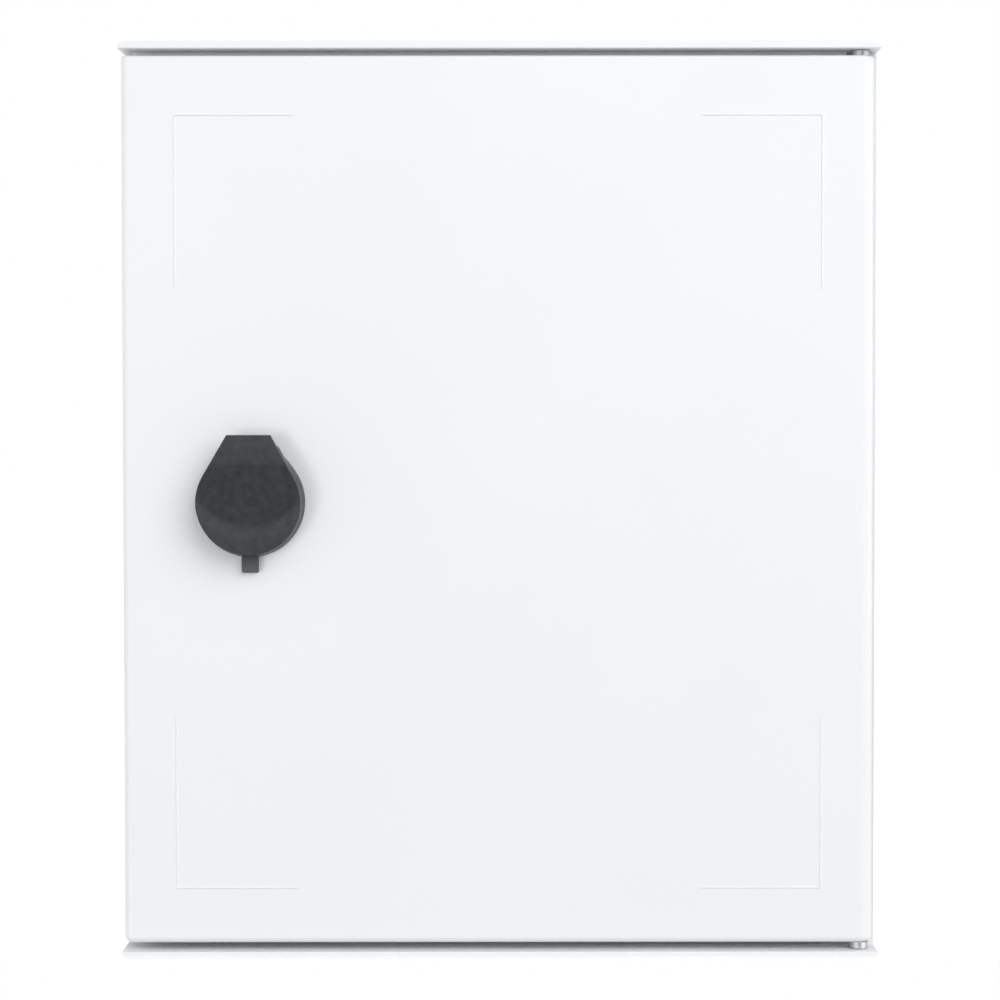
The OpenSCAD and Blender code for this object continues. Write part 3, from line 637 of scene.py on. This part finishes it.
EFFECTS = (
    make_moulded_grain, make_mottle, make_edge_rub, make_painted_slope_sheen,
    make_smudges, make_brushed, make_spangle, make_pores,
)
FINISHES = {
    "polyester": polyester_finish,
    "dark_plastic": satin_plastic_finish,
    "grey_plastic": satin_plastic_finish,
    "zinc_steel": zinc_steel_finish,
    "zinc_casting": zinc_casting_finish,
    "brass": brass_finish,
    "black_rubber": rubber_finish,
    "foam": foam_finish,
}


def finish_of(node):
    """The material of a node's slot, made the first time it is asked for."""
    if not bpy.data.node_groups:
        for make_effect in EFFECTS:
            make_effect()
    slot = SLOT_OF[node]
    name = slot + "_finish"
    finish = bpy.data.materials.get(name)
    if finish is None:
        finish, tree, shader, where = new_finish(name)
        base = tuple(getattr(bpy.context.scene.enclosure_colours, slot))
        FINISHES[slot](tree, shader, where, base)
    return finish


# Case


def drip_bead(bm, front, sizes):
    """A bead under the upper lip, just clear of the door and of the hinge."""
    door_low, door_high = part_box("door_panel")
    lip_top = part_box("case_shell")[1].z
    end_x = HINGE.x - sizes.hinge_round
    low = Vector((door_low.x + sizes.bead_width, front + sizes.bead_inset, door_high.z + sizes.bead_room))
    high = Vector((end_x, low.y + sizes.bead_width, (lip_top + door_high.z) / 2))
    stretch = Matrix.Diagonal((*(high - low), 1.0))
    bmesh.ops.create_cube(bm, size=1.0, matrix=Matrix.Translation((low + high) / 2) @ stretch)


def build_case(sizes):
    """The moulded case with its rim, round-edged lips and sealing edge, all other edges slightly round."""
    bm = copy_of("case_shell")
    front = min(vert.co.y for vert in bm.verts)
    for side, width in ((1, sizes.lip_round), (-1, sizes.low_lip_round)):
        lip = sharp_edges(bm, lambda vert: vert.co.y < front + MERGE and vert.co.z * side > 0)
        round_off(bm, lip, width, segments=5)
    drip_bead(bm, front, sizes)
    round_off(bm, sharp_edges(bm), sizes.moulded_edge, segments=3)
    make_piece(bm, "case_moulding", "case_shell")


# Door


def door_pan(bm, low, high, backs, skirt_x, rounds):
    """One wall of the door as a pan that is open at the back: face, round edges and skirts."""
    skirt_back, hinge_back = backs
    hinge_round, free_round, top_round = rounds
    plan = (
        (high.x, hinge_back), (high.x, low.y), (low.x, low.y), (low.x, skirt_back),
        (skirt_x, skirt_back), (skirt_x + skirt_back - hinge_back, hinge_back),
    )
    known_edges = set(bm.edges)
    known_faces = set(bm.faces)
    verts = [bm.verts.new((x, y, low.z)) for x, y in plan]
    bm.faces.new(verts)
    round_off(bm, [verts[1]], hinge_round, segments=10, affect="VERTICES")
    round_off(bm, [verts[2]], free_round, segments=8, affect="VERTICES")
    push(bm, new_items(bm.faces, known_faces), (0, 0, high.z - low.z))
    bmesh.ops.recalc_face_normals(bm, faces=new_items(bm.faces, known_faces))
    for level, width in ((high.z, top_round), (low.z, LOWER_SHARE * free_round)):
        rim = [
            edge for edge in new_items(bm.edges, known_edges)
            if all(abs(vert.co.z - level) < MERGE for vert in edge.verts)
            and min(vert.co.y for vert in edge.verts) < hinge_back - MERGE
        ]
        round_off(bm, rim, width, segments=5)
    back_faces = [
        face for face in new_items(bm.faces, known_faces)
        if min(vert.co.y for vert in face.verts) > hinge_back - NEAR
    ]
    bmesh.ops.delete(bm, geom=back_faces, context="FACES")


def slide_to(verts, corner, along, station):
    """Moves vertices along a direction until they are at one distance from a corner."""
    for vert in verts:
        vert.co += along * (station - (vert.co - corner).dot(along))


def corner_line(bm, corner, ways, sizes):
    """Two raised lines that meet at a corner of the door and sink away at their ends."""
    steps = 6
    sunk = sizes.line_height / 4
    points = []
    for step in range(steps + 1):
        across = step / steps
        rise = (sizes.line_height + sunk) * (1 - abs(2 * across - 1))
        inward = (ways[0] + ways[1]) * sizes.line_width * across
        points.append(corner + inward + Vector((0, sunk - rise, 0)))
    edges = chain(bm, points)[1]
    for along, reach in zip(ways, (sizes.line_level, sizes.line_upright)):
        leg = bmesh.ops.extrude_edge_only(bm, edges=edges)["geom"]
        slide_to(only(BMVert, leg), corner, along, reach - sizes.line_fade)
        tip = bmesh.ops.extrude_edge_only(bm, edges=only(BMEdge, leg))["geom"]
        tip_verts = only(BMVert, tip)
        slide_to(tip_verts, corner, along, reach)
        for vert in tip_verts:
            vert.co.y = corner.y + sunk


def add_corner_lines(bm, low, high, sizes):
    """The four pairs of raised lines near the door's corners."""
    for x, way_x in ((low.x + sizes.line_inset_x, 1), (high.x - sizes.line_inset_x, -1)):
        for z, way_z in ((low.z + sizes.line_inset_z, 1), (high.z - sizes.line_inset_z, -1)):
            ways = (Vector((way_x, 0, 0)), Vector((0, 0, way_z)))
            corner_line(bm, Vector((x, low.y, z - sizes.line_drop)), ways, sizes)


def bore_door(bm, low, high, sizes):
    """Holes for the latch's barrel in the door's face and for the hinge in its upper and lower skirt."""
    wall = sizes.door_wall
    seal_low, seal_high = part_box("lock_seal")
    barrel = BARREL_SHARE * (seal_high.x - seal_low.x) / 2
    faces = [flat_face(bm, (0, 1, 0), level) for level in (low.y, low.y + wall)]
    pierce(bm, faces, (LATCH.x, 0, LATCH.z), (0, 1, 0), barrel + sizes.barrel_room)
    for levels in ((high.z, high.z - wall), (low.z, low.z + wall)):
        faces = [flat_face(bm, (0, 0, 1), level) for level in levels]
        pierce(bm, faces, (HINGE.x, HINGE.y, 0), (0, 0, 1), BORE_SHARE * sizes.hinge_round)


def add_knuckles(bm, low, high, sizes):
    """Tubes round the hinge's axis, inside both ends of the door's hinge edge."""
    wall = sizes.door_wall
    bore = BORE_SHARE * sizes.hinge_round
    radius = KNUCKLE_SHARE * sizes.hinge_round
    end = sizes.knuckle_length - wall
    profile = ((bore, 0), (radius, 0), (radius, end), (bore, end))
    for start, way in ((high.z - wall, -1), (low.z + wall, 1)):
        turned(bm, profile, (HINGE.x, HINGE.y, start), (0, 0, way), steps=32)


def add_gasket_ribs(bm, inner_face, sizes):
    """Two ribs on the door's inside, with the gasket between them."""
    low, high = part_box("door_gasket")
    for grow in (sizes.rib_width, -sizes.gasket_width):
        ring_frame(
            bm, (low.x - grow, low.z - grow), (high.x + grow, high.z + grow),
            sizes.gasket_radius + grow, sizes.rib_width, inner_face, inner_face + sizes.rib_height,
        )


def build_door(sizes):
    """The moulded door: a shell with round edges, gasket ribs, hinge knuckles and raised corner lines."""
    low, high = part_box("door_panel")
    low.y += sizes.line_height
    wall = Vector((sizes.door_wall,) * 3)
    backs = (high.y, HINGE.y + sizes.hinge_round)
    skirt_x = HINGE.x - sizes.skirt_end
    outer_rounds = (sizes.hinge_round, sizes.free_round, sizes.top_round)
    inner_rounds = (sizes.hinge_round - sizes.door_wall, sizes.moulded_edge, sizes.moulded_edge)
    bm = bmesh.new()
    door_pan(bm, low, high, backs, skirt_x, outer_rounds)
    door_pan(bm, low + wall, high - wall, backs, skirt_x, inner_rounds)
    bmesh.ops.bridge_loops(bm, edges=[edge for edge in bm.edges if edge.is_boundary])
    bore_door(bm, low, high, sizes)
    add_knuckles(bm, low, high, sizes)
    add_gasket_ribs(bm, low.y + sizes.door_wall, sizes)
    face_out(bm)
    add_corner_lines(bm, low, high, sizes)
    make_piece(bm, "door_moulding", "door_panel")


def build_gasket(sizes):
    """The foamed gasket, crowned where the sealing edge meets it."""
    low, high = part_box("door_gasket")
    bm = bmesh.new()
    ring_frame(
        bm, (low.x, low.z), (high.x, high.z), sizes.gasket_radius, sizes.gasket_width, low.y, high.y
    )
    face_out(bm)
    crown = sharp_edges(bm, lambda vert: abs(vert.co.y - high.y) < MERGE)
    round_off(bm, crown, sizes.gasket_crown, segments=5)
    make_piece(bm, "door_seal", "door_gasket")


# Pieces that keep the solid's form, with their edges rounded


def build_rounded(node, name, width):
    """A copy of a solid with its sharp edges rounded."""
    bm = copy_of(node)
    round_off(bm, sharp_edges(bm), width, segments=2)
    make_piece(bm, name, node)


# Dust cap


def ramp(distance, blend):
    """Rises from 0 at a line, with a soft start."""
    if distance < -blend:
        return 0.0
    if distance < blend:
        return (distance + blend) ** 2 / (4 * blend)
    return distance


def bowed_fall(distance, reach, drop, bow):
    """Fall of a slope that starts steeper than its mean by the share bow, and ends as much less steep."""
    share = distance / reach
    return drop * (share * (1 + bow) - bow * share ** 2)


def cap_fall(x, z, top, sizes):
    """How far the cap's face lies behind its flat at a place measured from the latch."""
    above = ramp(z - sizes.cap_slope_start, sizes.cap_crease)
    fall = bowed_fall(above, top - sizes.cap_slope_start, sizes.cap_slope_drop, sizes.cap_slope_bow)
    smile_z = sizes.cap_smile_radius - sizes.cap_smile_low
    if z < smile_z:
        below = ramp(hypot(x, z - smile_z) - sizes.cap_smile_radius, sizes.cap_blend)
        reach = sizes.cap_radius - sizes.cap_smile_low
        fall += bowed_fall(below, reach, reach * tan(sizes.cap_smile_angle), sizes.cap_smile_bow)
    return fall


def cap_face(bm, centre, top, sizes):
    """The cap's front: a round outline drawn up to a flat top, cut into a grid that follows the slopes."""
    half = sizes.cap_top_width / 2
    radius = sizes.cap_radius
    flank = Vector((half, top)).angle(Vector((1, 0)))
    flank -= Vector((radius, (half ** 2 + top ** 2 - radius ** 2) ** 0.5)).angle(Vector((1, 0)))
    start = centre + Vector((radius * cos(flank), 0, radius * sin(flank)))
    corners = [centre + Vector((side * half, 0, top)) for side in (1, -1)]
    flanks = arch(bm, start, centre, (0, 1, 0), pi + 2 * flank, corners, steps=72)
    bmesh.ops.subdivide_edges(bm, edges=flanks, cuts=14)
    face = bmesh.ops.edgeloop_fill(bm, edges=bm.edges[:])["faces"][0]
    # A plain ring a little wider than the wall keeps the grid away from the rounded edge
    ring = sizes.cap_wall + sizes.cap_round / 4
    bmesh.ops.inset_region(bm, faces=[face], thickness=ring, use_boundary=True, use_even_offset=True)
    cut_grid(bm, [face], sizes.cap_grid)
    for vert in bm.verts:
        vert.co.y += cap_fall(vert.co.x - centre.x, vert.co.z - centre.z, top, sizes)


def cut_across(bm, faces, axis, level):
    """Cuts faces at a level along an axis, and returns the faces that they become."""
    normal = Vector((0, 0, 0))
    normal[axis] = 1.0
    edges = dict.fromkeys(edge for face in faces for edge in face.edges)
    verts = dict.fromkeys(vert for face in faces for vert in face.verts)
    geom = [*faces, *edges, *verts]
    made = bmesh.ops.bisect_plane(bm, geom=geom, plane_co=normal * level, plane_no=normal)
    return only(BMFace, made["geom"])


def cut_grid(bm, faces, step):
    """Cuts faces that look to the front into a grid."""
    for axis in (X, Z):
        spots = [vert.co[axis] for face in faces for vert in face.verts]
        start = min(spots)
        for index in range(1, int((max(spots) - start) / step) + 1):
            faces = cut_across(bm, faces, axis, start + index * step)


def cut_room(bm, faces, low, high):
    """Cuts a box-shaped room, open where its level is infinite, out of a thin shell."""
    for axis, levels in enumerate(zip(low, high)):
        for level in filter(isfinite, levels):
            faces = cut_across(bm, faces, axis, level)
    gone = []
    for face in faces:
        spots = zip(low, face.calc_center_median(), high)
        if all(least < spot < most for least, spot, most in spots):
            gone.append(face)
    bmesh.ops.delete(bm, geom=gone, context="FACES")


def draw_walls(bm, centre, top, rim_y, sizes):
    """Draws the border of the cap's front back to its rim, where the round part is wider."""
    corner = hypot(sizes.cap_top_width / 2, top)
    border = [edge for edge in bm.edges if edge.is_boundary]
    rim = bmesh.ops.extrude_edge_only(bm, edges=border)["geom"]
    for vert in only(BMVert, rim):
        vert.co.y = rim_y
        outward = Vector((vert.co.x - centre.x, 0, vert.co.z - centre.z))
        if outward.z < top - MERGE:
            beyond = max(0.0, outward.length - sizes.cap_radius) / (corner - sizes.cap_radius)
            vert.co += outward.normalized() * sizes.cap_draft * max(0.0, 1 - beyond / FADE_SHARE)
    bmesh.ops.recalc_face_normals(bm, faces=bm.faces)
    if max(bm.faces, key=lambda face: face.calc_area() * abs(face.normal.y)).normal.y > 0:
        bmesh.ops.reverse_faces(bm, faces=bm.faces)


def free_pin(bm, front_faces, lug_half, sizes):
    """Cuts the walls back above the pin, and a notch for the lug into the top wall."""
    walls = new_items(bm.faces, front_faces)
    cut_room(bm, walls, (-inf, PIN.y - sizes.cap_wall_room, PIN.z), (inf, inf, inf))
    walls = [face for face in bm.faces if abs(face.normal.z) > ALONG]
    notch_low = (PIN.x - lug_half, PIN.y - sizes.cheek_radius, PIN.z)
    cut_room(bm, walls, notch_low, (PIN.x + lug_half, inf, inf))


def round_front(bm, centre, top, sizes):
    """Rounds the edge all round the cap's front."""
    tolerance = sizes.cap_wall / 8

    def on_front(vert):
        fall = cap_fall(vert.co.x - centre.x, vert.co.z - centre.z, top, sizes)
        return abs(vert.co.y - centre.y - fall) < tolerance

    round_off(bm, sharp_edges(bm, on_front), sizes.cap_round, segments=4)


def cap_cheek(bm, middle, front, sizes):
    """A cheek with a bore for the pin, reaching forward into the cap."""
    left = middle - Vector((sizes.cheek_width / 2, 0, 0))
    up = Vector((0, 0, sizes.cheek_radius))
    corners = [(left.x, front, end.z) for end in (left + up, left - up)]
    arch(bm, left + up, left, (-1, 0, 0), pi, corners, steps=16)
    ring_loop(bm, left, (1, 0, 0), sizes.cap_pin / 2 + sizes.cap_pin_room, steps=16)
    wires = [edge for edge in bm.edges if edge.is_wire]
    sheet = bmesh.ops.triangle_fill(bm, use_beauty=True, edges=wires)["geom"]
    push(bm, only(BMFace, sheet), (sizes.cheek_width, 0, 0))


def cap_tab(bm, centre, low_z, sizes):
    """The finger tab below the cap's round part, with round front edges, leaning back towards its end, where its
    colour is painted paler to stand in for light from below.
    """
    half = sizes.tab_width / 2
    high_z = centre.z - sizes.cap_radius + sizes.cap_wall / 2
    y_front = centre.y - sizes.tab_thickness
    low = (centre.x - half, low_z)
    high = (centre.x + half, high_z)
    others = set(bm.faces)
    face = rounded_face(bm, low, high, y_front, sizes.cap_round, segments=3)
    rim = list(face.edges)
    push(bm, [face], (0, sizes.tab_thickness, 0))
    round_off(bm, [edge for edge in rim if edge.is_valid], sizes.tab_round, segments=4)
    steps = 8
    for step in range(1, steps):
        cut_across(bm, new_items(bm.faces, others), Z, high_z + (low_z - high_z) * step / steps)
    for vert in {vert for face in new_items(bm.faces, others) for vert in face.verts}:
        down = (high_z - vert.co.z) / (high_z - low_z)
        forward = (centre.y - vert.co.y) / sizes.tab_thickness
        vert.co.y += sizes.tab_lean * forward * down ** 2
        # Painted light: a paler colour towards the tab's end, which the finish reads
        vert[bm.verts.layers.float[TAB_LIGHT]] = max(0.0, down)


def build_cap(sizes):
    """The flip-up dust cap: a thin shell with two sloped zones, cheeks on its pin and a finger tab."""
    low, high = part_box("lock_cap")
    centre = Vector((LATCH.x, low.y, LATCH.z))
    top = high.z - LATCH.z
    pin_low, pin_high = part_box("cap_pin")
    lug_half = (pin_high.x - pin_low.x) / 2 - sizes.cheek_width
    bm = bmesh.new()
    bm.verts.layers.float.new(TAB_LIGHT)
    cap_face(bm, centre, top, sizes)
    front_faces = set(bm.faces)
    draw_walls(bm, centre, top, high.y, sizes)
    free_pin(bm, front_faces, lug_half, sizes)
    bmesh.ops.solidify(bm, geom=bm.faces[:], thickness=sizes.cap_wall)
    face_out(bm)
    round_front(bm, centre, top, sizes)
    cheek_front = low.y + sizes.cap_wall + sizes.cap_slope_drop / 2
    for side in (-1, 1):
        middle = PIN + Vector((side * (lug_half + sizes.cheek_width / 2), 0, 0))
        cap_cheek(bm, middle, cheek_front, sizes)
    cap_tab(bm, Vector((LATCH.x, high.y, LATCH.z)), low.z, sizes)
    face_out(bm)
    make_piece(bm, "dust_cap_moulding", "lock_cap")


# Stage


def light_path_mask(tree):
    """1 for what the camera, a mirror or a clear piece sees, and 0 for light that falls on the object."""
    path = place(tree, "LightPath").outputs
    seen = maths(tree, "MAXIMUM", path["Is Camera Ray"], path["Is Glossy Ray"])
    return maths(tree, "MAXIMUM", seen, path["Is Transmission Ray"])


def set_world(strength):
    """An even pale room that shows as white."""
    world = bpy.data.worlds.new("pale_room")
    world.use_nodes = True
    tree = world.node_tree
    tree.nodes.clear()
    level = between(tree, light_path_mask(tree), strength, 1.0)
    back = place(tree, "Background", {"Color": (1, 1, 1, 1), "Strength": level})
    place(tree, "OutputWorld", {"Surface": back.outputs["Background"]})
    bpy.context.scene.world = world


def floor_finish(base, glow):
    """A pale floor that shows as white, apart from the object's shadow."""
    finish = bpy.data.materials.new("floor_finish")
    finish.use_nodes = True
    tree = finish.node_tree
    tree.nodes.clear()
    matt = place(tree, "BsdfDiffuse", {"Color": (*base, 1.0)})
    level = between(tree, light_path_mask(tree), 0.0, glow)
    light = place(tree, "Emission", {"Strength": level})
    both = place(tree, "AddShader", {0: matt.outputs["BSDF"], 1: light.outputs["Emission"]})
    place(tree, "OutputMaterial", {"Surface": both.outputs["Shader"]})
    return finish


def add_floor(settings):
    """A floor under the object that ends just in front of the case."""
    bm = bmesh.new()
    bmesh.ops.create_grid(bm, x_segments=1, y_segments=1, size=settings.floor_reach)
    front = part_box("case_shell")[0].y - settings.floor_front
    bmesh.ops.translate(bm, verts=bm.verts, vec=(0, front + settings.floor_reach, CAD_BOX[0][2]))
    floor = mesh_object(bm, "floor", floor_finish(settings.floor, settings.floor_glow))


def add_lamp(name, place_at, aim, size, power):
    """A soft square lamp that points at a place."""
    lamp = bpy.data.lights.new(name, "AREA")
    lamp.size = size
    lamp.energy = power
    made = add_object(name, lamp)
    made.location = place_at
    made.rotation_euler = (Vector(aim) - Vector(place_at)).to_track_quat("-Z", "Y").to_euler()


def build_stage(settings):
    """Camera at the photograph's angle, soft lamps, a pale room and a floor."""
    scene = bpy.context.scene
    scene.view_settings.view_transform = "Standard"
    lens = bpy.data.cameras.new("camera")
    lens.lens = settings.lens
    lens.clip_start = 0.01
    camera = add_object("camera", lens)
    camera.location = settings.camera_place
    camera.rotation_euler = settings.camera_turn
    scene.camera = camera
    set_world(settings.world_light)
    add_floor(settings)
    aim = (0, CAD_BOX[0][1], 0)
    add_lamp("key_lamp", settings.key_place, aim, settings.key_size, settings.key_power)
    add_lamp("fill_lamp", settings.fill_place, aim, settings.fill_size, settings.fill_power)
    middle = (0, (CAD_BOX[0][1] + CAD_BOX[1][1]) / 2, 0)
    for side, name in ((-1, "left_lamp"), (1, "right_lamp")):
        beside = (side * settings.side_distance, 0, 0)
        add_lamp(name, beside, middle, settings.side_size, settings.side_power)


# Operators


class PieceBuilder:
    """Shared by the operators that build pieces: new forms first, then solids with rounded edges."""

    forms = ()
    rounded = {}

    def execute(self, context):
        sizes = context.scene.enclosure_sizes
        for build_form in self.forms:
            build_form(sizes)
        for node, name in self.rounded.items():
            build_rounded(node, name, sizes.metal_edge)
        return {"FINISHED"}


class ENCLOSURE_OT_case(PieceBuilder, bpy.types.Operator):
    """Builds the moulded case"""

    bl_idname = "enclosure.case"
    bl_label = "Case"
    forms = (build_case,)


class ENCLOSURE_OT_door(PieceBuilder, bpy.types.Operator):
    """Builds the door"""

    bl_idname = "enclosure.door"
    bl_label = "Door"
    forms = (build_door,)


class ENCLOSURE_OT_gasket(PieceBuilder, bpy.types.Operator):
    """Builds the foamed gasket"""

    bl_idname = "enclosure.gasket"
    bl_label = "Gasket"
    forms = (build_gasket,)


class ENCLOSURE_OT_hinge(PieceBuilder, bpy.types.Operator):
    """Builds the hinge's pins and bushes"""

    bl_idname = "enclosure.hinge"
    bl_label = "Hinge"
    rounded = {"hinge_pins": "hinge_pin_pair", "hinge_bushes": "hinge_bush_pair"}


class ENCLOSURE_OT_keeper(PieceBuilder, bpy.types.Operator):
    """Builds the latch's keeper and its rivets"""

    bl_idname = "enclosure.keeper"
    bl_label = "Keeper"
    rounded = {"keeper_bracket": "keeper_angle", "keeper_rivets": "keeper_rivet_pair"}


class ENCLOSURE_OT_plate(PieceBuilder, bpy.types.Operator):
    """Builds the mounting plate with its screws, washers and inserts"""

    bl_idname = "enclosure.plate"
    bl_label = "Mounting plate"
    rounded = {
        "mounting_plate": "plate_sheet",
        "plate_washers": "plate_washer_set",
        "plate_screws": "plate_screw_set",
        "plate_inserts": "plate_insert_set",
    }


class ENCLOSURE_OT_lock(PieceBuilder, bpy.types.Operator):
    """Builds the latch housing with its seal and nut"""

    bl_idname = "enclosure.lock"
    bl_label = "Latch housing"
    rounded = {"lock_housing": "latch_housing", "lock_seal": "latch_seal", "lock_nut": "latch_nut"}


class ENCLOSURE_OT_core(PieceBuilder, bpy.types.Operator):
    """Builds the turning core with its ring, tongue, washer and screw"""

    bl_idname = "enclosure.core"
    bl_label = "Latch core"
    rounded = {
        "lock_core": "latch_core",
        "core_ring": "latch_ring",
        "latch_cam": "latch_tongue",
        "cam_washer": "tongue_washer",
        "cam_screw": "tongue_screw",
    }


class ENCLOSURE_OT_cap(PieceBuilder, bpy.types.Operator):
    """Builds the dust cap and its pin"""

    bl_idname = "enclosure.cap"
    bl_label = "Dust cap"
    forms = (build_cap,)
    rounded = {"cap_pin": "dust_cap_pin"}


class ENCLOSURE_OT_stage(bpy.types.Operator):
    """Sets up the camera, the lamps and the floor"""

    bl_idname = "enclosure.stage"
    bl_label = "Stage"

    def execute(self, context):
        build_stage(context.scene.enclosure_stage)
        return {"FINISHED"}


class VIEW3D_PT_enclosure(bpy.types.Panel):
    """Lists the enclosure's pieces"""

    bl_label = "Polyester enclosure"
    bl_space_type = "VIEW_3D"
    bl_region_type = "UI"
    bl_category = "Enclosure"

    def draw(self, context):
        for operator in OPERATORS:
            self.layout.operator(operator.bl_idname)


OPERATORS = (
    ENCLOSURE_OT_case, ENCLOSURE_OT_door, ENCLOSURE_OT_gasket, ENCLOSURE_OT_hinge, ENCLOSURE_OT_keeper,
    ENCLOSURE_OT_plate, ENCLOSURE_OT_lock, ENCLOSURE_OT_core, ENCLOSURE_OT_cap, ENCLOSURE_OT_stage,
)
CLASSES = (EnclosureSizes, EnclosureColours, StageSettings, *OPERATORS, VIEW3D_PT_enclosure)


def register():
    for one_class in CLASSES:
        bpy.utils.register_class(one_class)
    bpy.types.Scene.enclosure_sizes = PointerProperty(type=EnclosureSizes)
    bpy.types.Scene.enclosure_colours = PointerProperty(type=EnclosureColours)
    bpy.types.Scene.enclosure_stage = PointerProperty(type=StageSettings)


def unregister():
    del bpy.types.Scene.enclosure_stage
    del bpy.types.Scene.enclosure_colours
    del bpy.types.Scene.enclosure_sizes
    for one_class in reversed(CLASSES):
        bpy.utils.unregister_class(one_class)


def main():
    register()
    bpy.ops.enclosure.case()
    bpy.ops.enclosure.door()
    bpy.ops.enclosure.gasket()
    bpy.ops.enclosure.hinge()
    bpy.ops.enclosure.keeper()
    bpy.ops.enclosure.plate()
    bpy.ops.enclosure.lock()
    bpy.ops.enclosure.core()
    bpy.ops.enclosure.cap()
    bpy.ops.enclosure.stage()


if __name__ == "__main__":
    main()
